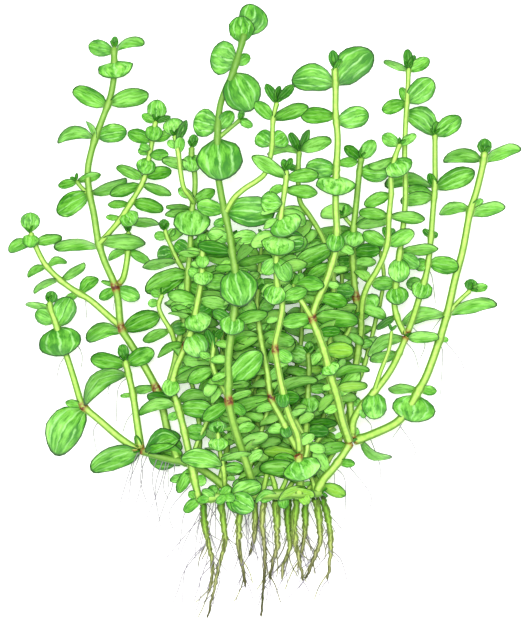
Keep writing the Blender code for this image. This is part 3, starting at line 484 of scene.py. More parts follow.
shoot("shoot_left_centre", 0.95,
      [(199, 497, 55), (195, 480, 58), (190, 455, 60), (184, 428, 60), (178, 405, 60),
       (173, 388, 61), (176, 369, 63), (182, 355, 65), (186, 345, 66), (192, 330, 70),
       (196, 312, 74), (199, 297, 76), (202, 280, 78), (203, 262, 80), (203, 246, 80)],
      [(203, 249, 204, 234, 13, 4), (203, 253, 178, 254, 7, 0), (203, 255, 233, 254, 8, 0),
       (203, 254, 203, 269, 14, 9), (203, 270, 205, 286, 21, 10), (202, 276, 189, 270, 12, -6),
       (202, 282, 231, 281, 17, 2), (199, 299, 168, 294, 13, 2), (199, 300, 229, 306, 14, 4),
       (196, 312, 201, 332, 28, 16), (196, 314, 171, 308, 12, -2), (195, 318, 189, 304, 9, 4),
       (194, 322, 169, 313, 5, 2, 2), (196, 315, 212, 306, 14, -6), (186, 345, 158, 357, 9, 3, -4, 4),
       (191, 334, 202, 357, 26, 12), (190, 336, 213, 334, 10, -2), (173, 378, 169, 396, 18, 12),
       (174, 383, 219, 368, 15, 0), (175, 378, 195, 369, 14, -8), (177, 401, 147, 396, 13, -6),
       (178, 405, 139, 413, 13, 4, -5, 5), (178, 403, 213, 398, 13, 6, 5, -5), (179, 408, 214, 409, 19, 0),
       (180, 412, 168, 418, 9, 2), (185, 431, 207, 432, 17, -6), (192, 468, 178, 492, 12, 2),
       (193, 474, 170, 480, 10, -3), (195, 479, 207, 479, 12, 4)])

shoot("shoot_low_small", 0.7,
      [(225, 486, 52), (224, 470, 66), (221, 455, 72), (219, 440, 74), (218, 431, 74)],
      [(219, 438, 219, 450, 21, 9), (218, 433, 218, 420, 19, 0), (222, 461, 265, 444, 15, 4),
       (223, 466, 208, 460, 9, 0), (223, 466, 244, 467, 12, -3)])

shoot("shoot_tallest", 1.0,
      [(256, 494, 55), (248, 467, 68), (240, 443, 80), (233, 420, 90), (229, 399, 96),
       (229, 378, 100), (229, 355, 103), (233, 325, 105), (236, 300, 105), (236, 275, 104),
       (233, 255, 103), (230, 235, 101), (225, 212, 98), (221, 192, 94), (218, 170, 90),
       (218, 135, 84), (220, 110, 80), (225, 93, 77), (233, 75, 74), (240, 52, 71), (245, 34, 69)],
      [(245, 38, 254, 6, 30, -4, 0, 4), (243, 44, 241, 18, 26, 8), (237, 64, 211, 56, 35, -4),
       (237, 66, 250, 57, 12, -4), (234, 76, 251, 113, 38, 12), (219, 127, 194, 122, 29, -3),
       (219, 131, 233, 113, 15, -3), (218, 139, 223, 182, 46, 16), (239, 122, 253, 128, 9, 2),
       (240, 122, 243, 112, 7, 2), (225, 212, 197, 206, 17, -4), (226, 211, 275, 214, 31, 6),
       (231, 240, 208, 234, 14, 2), (231, 240, 257, 236, 15, 3), (233, 251, 198, 246, 13, -8),
       (236, 268, 215, 269, 8, 2), (236, 267, 272, 257, 9, 2), (236, 269, 242, 307, 38, 14),
       (233, 314, 231, 335, 26, 12), (233, 320, 268, 313, 13, 2), (233, 320, 213, 311, 12, -5),
       (229, 384, 262, 351, 25, 0), (229, 401, 203, 419, 14, -2), (229, 398, 252, 390, 8, 2),
       (230, 402, 246, 413, 11, -4), (224, 220, 214, 226, 9, 4)],
      [[(218, 140, 84), (229, 131, 86), (241, 121, 86)]])

shoot("shoot_inner_left", 0.7,
      [(229, 398, 94), (224, 388, 88), (217, 376, 84), (213, 363, 82), (214, 348, 80),
       (216, 336, 78)],
      [(214, 350, 207, 329, 10, 2), (215, 342, 222, 329, 8, 2), (214, 368, 188, 381, 14, 3),
       (214, 360, 200, 352, 9, 0)])

shoot("shoot_upper_centre", 0.75,
      [(226, 214, 98), (234, 200, 106), (245, 190, 108), (256, 183, 108), (265, 175, 106),
       (270, 160, 104), (272, 147, 102), (273, 122, 98), (277, 104, 96)],
      [(277, 105, 266, 86, 9, 2), (277, 104, 294, 87, 9, 0), (277, 106, 279, 88, 7, 4),
       (273, 121, 255, 104, 13, 0), (273, 121, 308, 108, 14, 2), (272, 146, 257, 136, 19, -6),
       (272, 146, 286, 137, 19, -6)])

shoot("centre_trunk", 1.15,
      [(299, 493, 55), (300, 478, 62), (299, 464, 67), (298, 452, 70)],
      [(298, 455, 263, 450, 13, 0), (299, 456, 306, 479, 39, 14), (299, 460, 273, 458, 14, -5),
       (299, 466, 259, 468, 17, -8)])

shoot("shoot_centre_plain", 0.85,
      [(298, 451, 70), (290, 435, 72), (280, 415, 73), (271, 397, 73), (267, 370, 73),
       (262, 345, 73), (259, 325, 73), (257, 305, 72), (258, 289, 72)],
      [(258, 292, 262, 278, 9, 2), (257, 308, 275, 303, 13, 0), (259, 328, 247, 325, 9, -3),
       (259, 328, 271, 326, 8, -3), (260, 336, 221, 348, 11, 6, -5, 5), (260, 336, 295, 341, 16, 8),
       (260, 340, 247, 341, 8, -4), (271, 397, 226, 411, 14, 3), (271, 396, 318, 379, 13, 4, 5, -5),
       (273, 398, 300, 397, 15, -8), (284, 422, 288, 437, 13, 5), (269, 380, 282, 368, 12, -4)])

shoot("shoot_centre_veined", 0.85,
      [(299, 450, 72), (297, 434, 84), (288, 412, 94), (282, 388, 100), (277, 362, 104),
       (275, 345, 107), (279, 325, 111), (282, 305, 114), (277, 285, 119), (276, 262, 122),
       (279, 240, 124), (281, 215, 124), (284, 195, 123), (286, 180, 122), (286, 172, 121)],
      [(286, 175, 283, 161, 8, 2), (286, 175, 291, 160, 7, 3), (285, 181, 252, 158, 14, 0),
       (285, 181, 318, 176, 14, 2), (284, 188, 269, 194, 9, 3), (284, 192, 317, 195, 13, -2),
       (281, 219, 291, 236, 34, 14), (278, 238, 277, 257, 34, 14), (279, 240, 304, 243, 20, -8),
       (276, 258, 289, 282, 18, 4), (276, 258, 263, 275, 15, 0), (279, 286, 272, 305, 23, 10),
       (276, 350, 292, 360, 14, -4), (282, 299, 307, 290, 14, 2), (283, 390, 283, 407, 14, 8)])

shoot("shoot_low_centre", 0.8,
      [(300, 455, 66), (305, 436, 50), (307, 410, 42), (308, 390, 40), (309, 370, 40),
       (308, 352, 40)],
      [(308, 395, 311, 413, 20, 10), (306, 425, 337, 422, 10, 3), (306, 430, 329, 431, 14, -4),
       (308, 389, 327, 387, 11, 0), (309, 372, 281, 369, 10, 2), (309, 370, 323, 369, 9, 4),
       (308, 358, 290, 352, 19, 4), (308, 355, 310, 341, 10, 2), (306, 427, 285, 424, 15, -6)])

shoot("right_trunk", 1.15,
      [(316, 492, 53), (323, 479, 50), (332, 469, 48), (341, 457, 46), (351, 441, 44)],
      [(349, 445, 317, 450, 13, 4), (337, 463, 355, 463, 9, -2), (320, 486, 346, 494, 13, 2)])

shoot("shoot_centre_tall", 1.0,
      [(349, 441, 46), (342, 420, 66), (337, 398, 80), (330, 375, 90), (324, 352, 96),
       (318, 335, 99), (312, 318, 100), (317, 300, 100), (325, 283, 100), (331, 265, 99),
       (335, 250, 98), (336, 230, 97), (335, 210, 96), (335, 190, 94), (336, 165, 91),
       (337, 140, 88), (335, 115, 85), (335, 90, 82), (334, 69, 80)],
      [(334, 72, 332, 52, 10, 2), (335, 76, 340, 61, 8, 4), (335, 87, 291, 82, 28, 4, 0, 5),
       (335, 88, 371, 53, 33, 4, 0, -3), (335, 118, 300, 117, 16, 2), (336, 125, 368, 115, 22, -2),
       (336, 165, 357, 163, 10, 0), (335, 172, 305, 169, 21, -6), (335, 179, 334, 197, 40, 14),
       (336, 234, 333, 253, 19, 9), (335, 246, 293, 266, 19, 4), (331, 266, 306, 278, 12, -2),
       (312, 317, 281, 323, 16, 0), (312, 317, 358, 320, 18, 6), (319, 298, 347, 303, 15, -6),
       (323, 350, 353, 351, 17, -4), (332, 378, 369, 369, 10, 3, 4, -4), (334, 388, 367, 385, 11, -3),
       (327, 362, 333, 374, 20, 10), (316, 331, 340, 331, 11, -6)])

shoot("shoot_centre_small", 0.75,
      [(312, 319, 101), (307, 311, 104), (301, 301, 104), (295, 292, 103), (292, 284, 102)],
      [(293, 287, 324, 286, 16, -2), (292, 285, 303, 274, 9, 0), (292, 286, 297, 275, 8, 4),
       (300, 300, 286, 296, 9, -2)])

shoot("shoot_centre_slim", 0.8,
      [(348, 443, 44), (341, 425, 46), (333, 405, 52), (329, 380, 58), (329, 350, 62),
       (331, 320, 66), (333, 290, 68), (331, 265, 70), (322, 238, 72), (309, 216, 76),
       (300, 203, 80), (298, 185, 84), (298, 168, 86), (299, 152, 86)],
      [(299, 154, 290, 134, 9, 2), (299, 154, 309, 131, 8, 0), (299, 152, 331, 141, 14, 2),
       (299, 154, 267, 156, 9, 2, -5, 5), (298, 172, 287, 167, 7, 0), (333, 290, 354, 292, 16, -6),
       (329, 360, 341, 346, 10, 2)])

shoot("shoot_right_centre", 0.95,
      [(352, 440, 44), (351, 420, 38), (350, 395, 36), (354, 375, 36), (358, 350, 38),
       (361, 325, 42), (357, 305, 46), (355, 292, 48), (353, 270, 50), (352, 250, 52),
       (353, 230, 54), (355, 212, 55), (357, 192, 56), (359, 172, 56), (361, 158, 56)],
      [(361, 160, 344, 147, 11, 2), (361, 160, 374, 141, 15, 0), (361, 160, 362, 147, 6, 3),
       (358, 171, 388, 175, 19, 4), (344, 217, 333, 211, 7, 0), (343, 217, 346, 205, 7, 2),
       (353, 229, 311, 236, 12, 2), (353, 228, 391, 220, 12, 0), (353, 231, 351, 248, 24, 10),
       (352, 252, 380, 250, 15, -2), (353, 262, 338, 262, 15, -5), (353, 260, 376, 263, 10, -5),
       (357, 298, 371, 315, 36, 14), (358, 308, 386, 318, 13, -4), (356, 297, 341, 287, 14, -5),
       (358, 345, 373, 343, 9, 0), (357, 352, 333, 353, 17, -2), (352, 428, 359, 434, 7, 3),
       (351, 400, 361, 402, 10, 2)],
      [[(353, 227, 54), (347, 221, 56), (343, 215, 56)]])

shoot("shoot_right_pair", 0.8,
      [(361, 320, 42), (362, 302, 56), (367, 286, 66), (376, 271, 72), (383, 256, 76),
       (387, 240, 79), (388, 217, 82), (390, 195, 84), (390, 175, 85), (394, 158, 85),
       (399, 145, 84)],
      [(398, 147, 381, 137, 14, 2), (398, 147, 415, 136, 9, 0), (394, 159, 367, 167, 9, 3, -4),
       (394, 160, 402, 177, 29, 12), (390, 194, 363, 206, 13, 2), (388, 217, 358, 213, 12, -2),
       (388, 217, 424, 220, 12, 0), (387, 240, 383, 227, 7, 2), (387, 240, 393, 229, 8, 2),
       (386, 246, 362, 233, 14, 4), (386, 246, 413, 232, 16, 2)])

shoot("right_upper_trunk", 1.0,
      [(352, 433, 44), (353, 420, 52), (361, 406, 56), (375, 390, 56), (386, 376, 54),
       (394, 363, 50), (400, 350, 46), (406, 336, 42)],
      [(374, 391, 374, 419, 25, 14), (362, 405, 363, 418, 9, 3), (405, 338, 367, 356, 14, 5, -5, 5),
       (406, 338, 439, 337, 12, 0), (399, 353, 370, 361, 12, -12)],
      [[(373, 393, 56), (380, 371, 62), (388, 350, 64), (391, 330, 64)]])

shoot("shoot_right_inner", 0.8,
      [(405, 335, 42), (398, 321, 44), (394, 304, 46), (396, 280, 48), (399, 255, 50),
       (402, 232, 51), (404, 213, 52), (405, 190, 52), (404, 160, 52), (405, 125, 52),
       (407, 95, 51), (408, 68, 50)],
      [(408, 71, 407, 50, 10, 2), (408, 72, 414, 56, 7, 3), (408, 71, 383, 62, 7, 0),
       (408, 71, 429, 60, 13, 2), (407, 103, 433, 81, 24, -2), (407, 104, 381, 111, 14, 3),
       (407, 103, 400, 88, 9, -3), (399, 258, 398, 283, 22, 10), (400, 256, 419, 267, 15, -2),
       (395, 287, 398, 305, 23, 10), (395, 284, 371, 284, 15, 2), (400, 252, 438, 249, 11, -6),
       (396, 317, 376, 329, 8, 0)])

shoot("shoot_right_outer", 0.85,
      [(407, 333, 42), (412, 320, 32), (417, 305, 26), (421, 292, 24), (426, 275, 22),
       (429, 257, 22), (431, 237, 22), (433, 210, 22), (435, 185, 22), (435, 160, 22),
       (435, 134, 22)],
      [(435, 136, 406, 112, 24, -3, 0, 6), (435, 136, 461, 117, 19, 2), (435, 136, 437, 121, 8, 3),
       (434, 187, 385, 186, 13, REST), (435, 187, 475, 171, 20, 2), (434, 187, 429, 173, 9, 3),
       (434, 194, 407, 189, 12, -6), (434, 197, 400, 201, 14, 6), (431, 236, 423, 229, 7, 2),
       (431, 237, 438, 233, 7, 2), (428, 262, 459, 267, 18, 4), (428, 262, 413, 266, 14, 4),
       (422, 279, 419, 299, 22, 9), (423, 284, 406, 284, 15, -3)])

shoot("shoot_right_tall", 1.1,
      [(353, 441, 42), (375, 433, 34), (397, 422, 27), (410, 406, 22), (419, 390, 18),
       (427, 375, 16), (438, 345, 15), (447, 315, 16), (455, 280, 17), (463, 250, 17),
       (470, 213, 17), (477, 190, 17), (483, 165, 16), (485, 151, 16)],
      [(485, 154, 485, 138, 15, 4), (484, 161, 443, 160, 14, 3, 0, 5), (484, 161, 522, 149, 13, REST, 0, 3),
       (470, 209, 439, 214, 12, 2, 0, 4), (470, 212, 506, 208, 14, REST, 0, 4), (471, 208, 483, 199, 8, 3),
       (447, 316, 401, 325, 15, 4, -4, 1), (448, 315, 498, 305, 14, REST, 0, 4), (470, 291, 473, 279, 14, 3),
       (470, 290, 488, 286, 9, 2), (419, 391, 388, 389, 10, -2), (420, 390, 437, 391, 10, 3),
       (417, 395, 411, 422, 44, 14), (359, 439, 392, 457, 10, -4, -5, 8), (441, 338, 449, 340, 6, 0)],
      [[(448, 314, 16), (460, 300, 18), (471, 290, 18)]])

ROOTS = [
    [(203, 502, 44), (204, 520, 32), (208, 542, 16), (212, 566, 4), (209, 593, 1)],
    [(221, 501, 44), (223, 520, 34), (225, 541, 18), (219, 566, 4), (214, 590, 2), (207, 619, 1)],
    [(240, 500, 44), (239, 522, 34), (239, 546, 16), (242, 566, 4), (245, 588, 1)],
    [(254, 500, 42), (255, 522, 28), (254, 540, 12), (249, 557, 2)],
    [(264, 500, 44), (262, 525, 34), (265, 552, 16), (264, 580, 3), (261, 618, 1)],
    [(276, 500, 44), (277, 524, 34), (277, 548, 16), (272, 566, 4), (270, 582, 1)],
    [(288, 499, 42), (288, 522, 30), (290, 546, 14), (284, 564, 4), (282, 581, 1)],
    [(297, 499, 44), (294, 524, 38), (297, 550, 22), (301, 568, 6), (303, 582, 1)],
    [(306, 499, 42), (305, 518, 30), (305, 530, 18), (303, 546, 6), (299, 562, 1)],
    [(315, 498, 42), (319, 518, 32), (320, 540, 18), (313, 562, 5), (306, 580, 1)],
    [(322, 497, 40), (328, 518, 28), (331, 545, 12), (328, 581, 1)],
]

print("shoots", len(SHOOTS), "leaves", sum(len(s["leaves"]) for s in SHOOTS.values()), "roots", len(ROOTS))

# %% [markdown]
# ## Smooth lines for stems
#
# A living stem has no corners, so its few planned points are joined by a Catmull-Rom curve: each
# piece of it leaves one point in the direction from the point before to the point after. Each
# line starts on its parent's own middle line, so that the stem comes out of its parent's skin.

# %% The lines of the stems
FINE_STEP = 3.0                    # grid units between the points of a line


def smooth_line(points, step=FINE_STEP):
    """A smooth line through grid points, as points about one step apart."""
    line = []
    ends = [points[0], *points, points[-1]]
    for a, b, c, d in zip(ends, ends[1:], ends[2:], ends[3:]):
        a, b, c, d = (Vector(p) for p in (a, b, c, d))
        pieces = max(1, round((c - b).length / step))
        for k in range(pieces):
            t = k / pieces
            bend = (2 * a - 5 * b + 4 * c - d) * t * t + (3 * (b - c) + d - a) * t ** 3
            line.append(b + (c - a) * t / 2 + bend / 2)
    return [*line, Vector(points[-1])]


LINES = {name: [smooth_line(grown["stem"]), *map(smooth_line, grown["twigs"])]
         for name, grown in SHOOTS.items()}
print("line points", sum(len(line) for lines in LINES.values() for line in lines))

# %% [markdown]
# ## Bending a straight rod into a stem
#
# A stem could be a curve object with a bevel, but then its ribs could not be told from its flats.
# So each stem starts as an eight-sided disc that is extruded upwards once for every point of the
# line, and then every ring of the rod is carried to its point. Corner points of a ring are set
# further out than the ones between, which makes the section a rounded square, with one flat side
# up. Each rod is made in a small bmesh of its own, because an operator on a large one takes long.

# %% Directions along a line
UP = Vector((0, 0, 1))
TIP_BLUNT = 0.4                    # how blunt the tip of a stem or root is


def step_at(line, k):
    """The way from the point before point k of a line to the one after it."""
    return line[min(k + 1, len(line) - 1)] - line[max(k - 1, 0)]


def left_of(direction):
    """The level direction to the left of another."""
    return UP.cross(direction).normalized()


def rounded(steps, end):
    """A rod's width this many points from an end that is drawn in; end says how blunt it is."""
    return min(1.0, (steps + end) / (1 + end))


print("a tip is drawn in to", [round(rounded(steps, TIP_BLUNT), 2) for steps in range(3)])

# %% Rods that follow a line
SCRATCH = bpy.data.meshes.new("scratch")
RING_SIDES = 8
RIBS = 4
CORNER_REACH = 1.2                 # how far a rib stands out, for a flat of 1.0


def new_bmesh():
    """An empty bmesh with the look attribute and the leaf map."""
    bm = bmesh.new()
    return bm, bm.verts.layers.float_color.new("look"), bm.loops.layers.uv.new("blade")


def add_part(bm, part):
    """Adds a small bmesh to a large one."""
    part.to_mesh(SCRATCH)
    part.free()
    bm.from_mesh(SCRATCH)


def grow_rod(bm, line, radius_at, look_at, slot, corner=CORNER_REACH):
    """Adds a closed rod along a grid line; radius_at and look_at take the share of its length."""
    part, look, _ = new_bmesh()
    ring = bmesh.ops.create_circle(part, cap_ends=True, segments=RING_SIDES, radius=1.0)["verts"]
    edges = list({e for v in ring for e in v.link_edges})
    for _ in line[1:]:
        grown = bmesh.ops.extrude_edge_only(part, edges=edges)["geom"]
        ring = {g for g in grown if isinstance(g, bmesh.types.BMVert)}
        edges = [g for g in grown if isinstance(g, bmesh.types.BMEdge)]
        edges = [e for e in edges if e.verts[0] in ring and e.verts[1] in ring]
        bmesh.ops.translate(part, verts=list(ring), vec=UP)
    bmesh.ops.edgeloop_fill(part, edges=edges)
    last = len(line) - 1
    for vert in part.verts:
        k = round(vert.co.z)
        forward = step_at(line, k).normalized()
        side = -left_of(forward)
        top = side.cross(forward)
        angle = math.atan2(vert.co.y, vert.co.x)
        rib = max(0.0, -math.cos(RIBS * angle))
        reach = radius_at(k / last) * (1 + (corner - 1) * rib)
        vert.co = line[k] + (side * math.cos(angle) + top * math.sin(angle)) * reach
        vert.co.z = max(vert.co.z, 0.0)
        vert[look] = look_at(k / last, rib)
    for face in part.faces:
        face.material_index = slot
        face.smooth = True
    add_part(bm, part)


print("a rod has", RING_SIDES, "sides and", RIBS, "ribs")

# %% [markdown]
# ## Shaping a leaf
#
# A leaf starts as a sphere of five bands and is squeezed to a thin lens. The middle band becomes
# the cut edge of the blade, marked sharp so that the light breaks there, and squeezing keeps the
# mesh closed, which a flat sheet would not be. Every point of the sphere then moves: x becomes
# the way from base to tip along a bowed midrib, y the way across, and z the thickness. The blade
# is cupped, folded a little along its midrib, drawn in at the foot and waved at the margin, each
# leaf by its own seed. Hundreds of leaves grow this way, so each has only a few dozen faces.

# %% The form of a leaf
BLADE_BROAD = 0.62                 # a leaf is at least this broad for its length
SOLID_ARCH = 0.10                  # how far a solid leaf bows along its length, as a share of it
BLADE_ARCH = 0.07                  # how far the living leaf does, always towards the shoot tips
REST_ARCH = -0.22                  # the bow of a leaf that lies on the surface
BLADE_CUP = 0.05                   # how far its sides curl up, as a share of the width
FOOT_BREADTH = 0.84                # breadth near the foot, as a share of the width
BREADTH_GAIN = 0.32                # how much of that share is gained from foot to tip


def upwards(direction):
    """A direction, turned about if it points down."""
    return -direction if direction.z < 0 else direction


def leaf_form(base, leaf, size, lift, side, arch=BLADE_ARCH):
    """The midrib and the cross direction of a leaf, the way its solid was laid out."""
    along = (Vector((*leaf[TIP], base.z)) - base) * size
    tip = base + along + Vector((0, 0, lift))
    length = (tip - base).length
    bow = leaf[BOW if arch == SOLID_ARCH else -1] * size if len(leaf) > BOW else 0.0
    width = leaf[WIDTH] * size
    broad = max(width, BLADE_BROAD * length)
    turn = side * math.acos(width / broad)
    left = left_of(along)
    flat = -left if left.y < 0 else left
    forward = (tip - base).normalized()
    across = (math.cos(turn) * flat - math.sin(turn) * upwards(forward.cross(flat))).normalized()
    normal = upwards(forward.cross(across))
    if arch == BLADE_ARCH and normal.y > 0:
        arch = -arch
    middle = (base + tip) / 2 + left * bow * 2 + normal * arch * length * 2
    return {"base": base, "middle": middle, "tip": tip, "across": across, "normal": normal,
            "broad": broad, "length": length}


def on_leaf(form, x, y, sideways=1.0, proud=0.0):
    """The place on the blade of a point x, y of the round chart, from -1 to 1 each way."""
    t = (1 + x) / 2
    s = y * (FOOT_BREADTH + BREADTH_GAIN * t) * sideways
    centre = form["base"] * (1 - t) ** 2 + form["middle"] * 2 * t * (1 - t) + form["tip"] * t * t
    curl = form["broad"] * BLADE_CUP * s * s + proud
    return centre + form["across"] * (s * form["broad"] / 2) + form["normal"] * curl


level = leaf_form(Vector(), (0, 0, 40, 0, 30, 0), 1.0, 0.0, 1)
print("a level leaf 40 grid units long arches up by", round(on_leaf(level, 0, 0).z, 2))

# %% One leaf
BLADE_FOLD = 0.03                  # how far the sides fold up from the midrib, as a share of the width
BLADE_THICK = 0.0005 / UNIT        # thickness in the middle of a leaf
MARGIN_WAVE = 0.028                # height of the highest waves along the margin, as a share of the width
WAVINESS = (0.5, 1.0)              # least and most of that height that a leaf has
WAVES = 4
POINTED = (0.05, 0.3)              # least and most that a leaf narrows to its tip
POINTED_FROM = 0.3                 # where it starts to, from -1 at the base to 1 at the tip
BROAD_LOBES = 3
BROAD_UNEVEN = (0.01, 0.035)       # least and most that these stand out
FINE_LOBES = 7
FINE_UNEVEN = 0.02                 # and how far these do
FOOT_DRAWN_IN = 0.6                # breadth at the very foot, as a share of what it would be
FOOT_LONG = 0.4                    # how far along the chart the foot reaches
BANDS = 5
RIM_RING = math.sin(math.radians(72))      # radius of the widest rings of a sphere of five bands
RIM = 0.99                         # points of the chart further out than this are on the cut edge
LEAF_SIDES = ((30, 20), (18, 16), (0, 12))  # shortest leaf in grid units, and its sides
LEAF_SLOT = 0
STEM_SLOT = 1


def grow_leaf(bm, form, tone, veined, yellow, chance):
    """Adds one leaf blade to a mesh; chance is the leaf's own random numbers."""
    part, look, chart = new_bmesh()
    sides = next(sides for least, sides in LEAF_SIDES if form["length"] >= least)
    bmesh.ops.create_uvsphere(part, u_segments=sides, v_segments=BANDS, radius=1 / RIM_RING)
    seed = chance.random()
    wave = chance.uniform(*WAVINESS) * MARGIN_WAVE * form["broad"]
    phase = chance.uniform(0, math.tau)
    pointed = chance.uniform(*POINTED)
    uneven = chance.uniform(*BROAD_UNEVEN)
    places = {}
    for vert in part.verts:
        x, y, z = vert.co
        places[vert] = (x, y)
        angle = math.atan2(y, x)
        out = x * x + y * y
        foot = FOOT_DRAWN_IN + (1 - FOOT_DRAWN_IN) * min(1.0, (1 + x) / FOOT_LONG)
        point = 1 - pointed * max(0.0, x - POINTED_FROM)
        lobes = 1 + uneven * out * math.sin(BROAD_LOBES * angle + phase)
        lobes += FINE_UNEVEN * out * math.sin(FINE_LOBES * angle - phase)
        proud = z * BLADE_THICK / 2 + BLADE_FOLD * form["broad"] * abs(y)
        proud += wave * out * out * math.sin(WAVES * angle + phase)
        vert.co = on_leaf(form, x, y, foot * point * lobes, proud)
        vert.co.z = max(vert.co.z, 0.0, BLADE_THICK * (1 + z) / 2)
        vert[look] = (tone, veined, yellow, seed)
    for edge in part.edges:
        edge.smooth = min(math.hypot(*places[v]) for v in edge.verts) < RIM
    for face in part.faces:
        face.material_index = LEAF_SLOT
        face.smooth = True
        for loop in face.loops:
            x, y = places[loop.vert]
            loop[chart].uv = ((1 + x) / 2, (1 + y) / 2)
    add_part(bm, part)


print("a blade is", round(BLADE_THICK * UNIT * 1000, 2), "mm thick")

# %% [markdown]
# ## Finding each leaf's place on its solid
#
# The solids' leaves were shifted, turned or made a little smaller where they would have met a
# neighbour. The grid plan doesn't say how far, but the solids do: each likely position is tried,
# and the one whose tip, sides and middle lie closest to the solid's skin is the right one. A thin
# blade needs less room than its solid, so it then grows back to the size in the plan, as far as
# the other shoots' leaves and stems leave it room.

# %% The solids as search trees
def tree_on_grid(solid):
    """A search tree of a solid's skin, on the grid."""
    points = [on_grid(v.co) for v in solid.data.vertices]
    return BVHTree.FromPolygons(points, [list(p.vertices) for p in solid.data.polygons])


TREES = {name: tree_on_grid(solid) for name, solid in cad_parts.items()}
print("search trees", len(TREES))

# %% Where a leaf's solid is
SIZES = (1.0, 0.88, 0.76, 0.64, 0.52)
SHIFTS = (0, 5, -5, 10, -10, 16, -16, 22, -22)
PROBES = ((1, 0), (0, 1), (0, -1), (0.5, 0))
FAR_GAP = 6.0                      # grid units past which a probe is no worse for being further off


def positions(lift):
    """Every position a leaf's solid can have, as size, lift and side."""
    return [(size, lift + shift, side) for size in SIZES for shift in SHIFTS for side in (1, -1)]


def misfit(form, tree):
    """How far a leaf in this form lies from a solid's skin, in grid units."""
    gaps = [tree.find_nearest(on_leaf(form, x, y))[3] for x, y in PROBES]
    return sum(min(gap, FAR_GAP) for gap in gaps)


def foot_of(name, leaf):
    """The grid point on a shoot's stem that a leaf grows from."""
    spot = Vector(leaf[BASE])
    return min((p for line in LINES[name] for p in line), key=lambda p: (p.xy - spot).length)


print("positions that a leaf's solid can have", len(positions(0)))

# %% Room for a leaf
TURNS = [k * math.tau / 8 for k in range(8)]
LOWEST = 1.0                       # grid units above the surface that a clear leaf stays
TALLEST = on_grid(CAD_BOX[1]).z + 3
CELL = 40                          # grid units; no blade reaches further than this from its middle
PLACED = {}


def margin(form):
    """Eight points round a leaf's margin."""
    return [on_leaf(form, math.cos(turn), math.sin(turn)) for turn in TURNS]


def blade_inside(rim):
    """A search tree of the flat blade inside a margin."""
    return BVHTree.FromPolygons(rim, [list(range(len(rim)))])


def cells_round(point, spread=0):
    """The cells of the grid's coarse index at a point, and round it."""
    across, down = int(point.x // CELL), int(point.y // CELL)
    steps = range(-spread, spread + 1)
    return [(across + i, down + j) for i in steps for j in steps]


def remember(name, form):
    """Notes where a leaf is, for the leaves that come after it."""
    PLACED.setdefault(cells_round(form["middle"])[0], []).append((name, blade_inside(margin(form))))


def is_clear(form, own):
    """Whether a leaf is above the surface, in the box, and meets no other shoot's leaves or stem."""
    rim = margin(form)
    heights = [point.z for point in rim]
    if min(heights) < LOWEST or max(heights) > TALLEST:
        return False
    blade = blade_inside(rim)
    if any(other.overlap(blade) for where in cells_round(form["middle"], 1)
           for name, other in PLACED.get(where, ()) if name != own):
        return False
    return not any(tree.overlap(blade) for name, tree in TREES.items() if name != own)


print("a clear leaf lies between", LOWEST, "and", round(TALLEST, 1), "grid units")

# %% The planned leaves
LEAST_LEAF = 15.0                  # leaves seen shorter than this have no solid
UNPLACED_SIZE = 0.6                # size of a leaf without a solid that finds no room
GROWTHS = (1.0, 0.95, 0.9, 0.85, 0.8, 0.75, 0.7)
NUDGES = (0, 2.5, -2.5, 5, -5, 8, -8, 12, -12, 17, -17, 23, -23)
STEEPEST = 0.6                     # how far a tip rises or falls, as a share of the leaf's length as seen
ON_SKIN = Vector((0, 0, 5))        # from a stem's middle line to its upper skin
MORE_LEAVES = {                    # leaves too crowded for a solid of their own
    "creeping_base": [
        (231, 490, 261, 482, 19, 14), (229, 489, 254, 509, 23, 8), (207, 497, 216, 484, 10, 8),
        (210, 496, 197, 500, 9, 4), (216, 495, 203, 488, 9, 10), (222, 497, 230, 485, 10, 10),
        (277, 495, 255, 501, 9, 5, 0, 4), (226, 497, 216, 502, 9, 4), (197, 498, 190, 490, 9, 8),
        (225, 497, 236, 498, 10, 6), (312, 489, 278, 498, 13, 8, 0, 4)],
    "shoot_centre_veined": [(284, 206, 261, 202, 22, -12)],
    "shoot_left_inner": [(150, 157, 169, 155, 12, -4), (149, 150, 140, 146, 9, -3)],
    "shoot_left_back": [(192, 158, 205, 165, 12, -6), (193, 196, 178, 190, 10, -6)],
    "shoot_low_small": [(222, 463, 181, 457, 20, 2, 0, 3)],
    "left_arm": [(144, 452, 183, 446, 24, -10, 0, -9), (146, 456, 183, 460, 16, -18, 0, 7)]}


def best_form(name, base, leaf, in_solid=True):
    """The form of a leaf: where its solid is, and as large as its neighbours let it be."""
    if leaf[LIFT] is REST:
        return leaf_form(base, leaf, 1.0, -base.z - 1, 1, REST_ARCH)
    seen = (Vector(leaf[TIP]) - Vector(leaf[BASE])).length
    size, lift, side = UNPLACED_SIZE, leaf[LIFT], 1
    if in_solid and seen >= LEAST_LEAF:
        forms = {place: leaf_form(base, leaf, *place, SOLID_ARCH) for place in positions(lift)}
        size, lift, side = min(forms, key=lambda place: misfit(forms[place], TREES[name]))
    steepest = max(abs(lift), STEEPEST * seen)
    nudges = [nudge for nudge in NUDGES if abs(lift + nudge) <= steepest]
    for grown in GROWTHS:
        for nudge in nudges:
            form = leaf_form(base, leaf, grown, lift + nudge, side)
            if grown > size and is_clear(form, name):
                return form
    return leaf_form(base, leaf, size, lift, side)


def place_leaves(name, grown):
    """The forms of all planned leaves of one shoot, each noted for its neighbours."""
    forms = []
    for leaf in grown["leaves"]:
        forms.append(best_form(name, foot_of(name, leaf), leaf))
        remember(name, forms[-1])
    for leaf in MORE_LEAVES.get(name, ()):
        forms.append(best_form(name, foot_of(name, leaf) + ON_SKIN, leaf, in_solid=False))
        remember(name, forms[-1])
    return forms


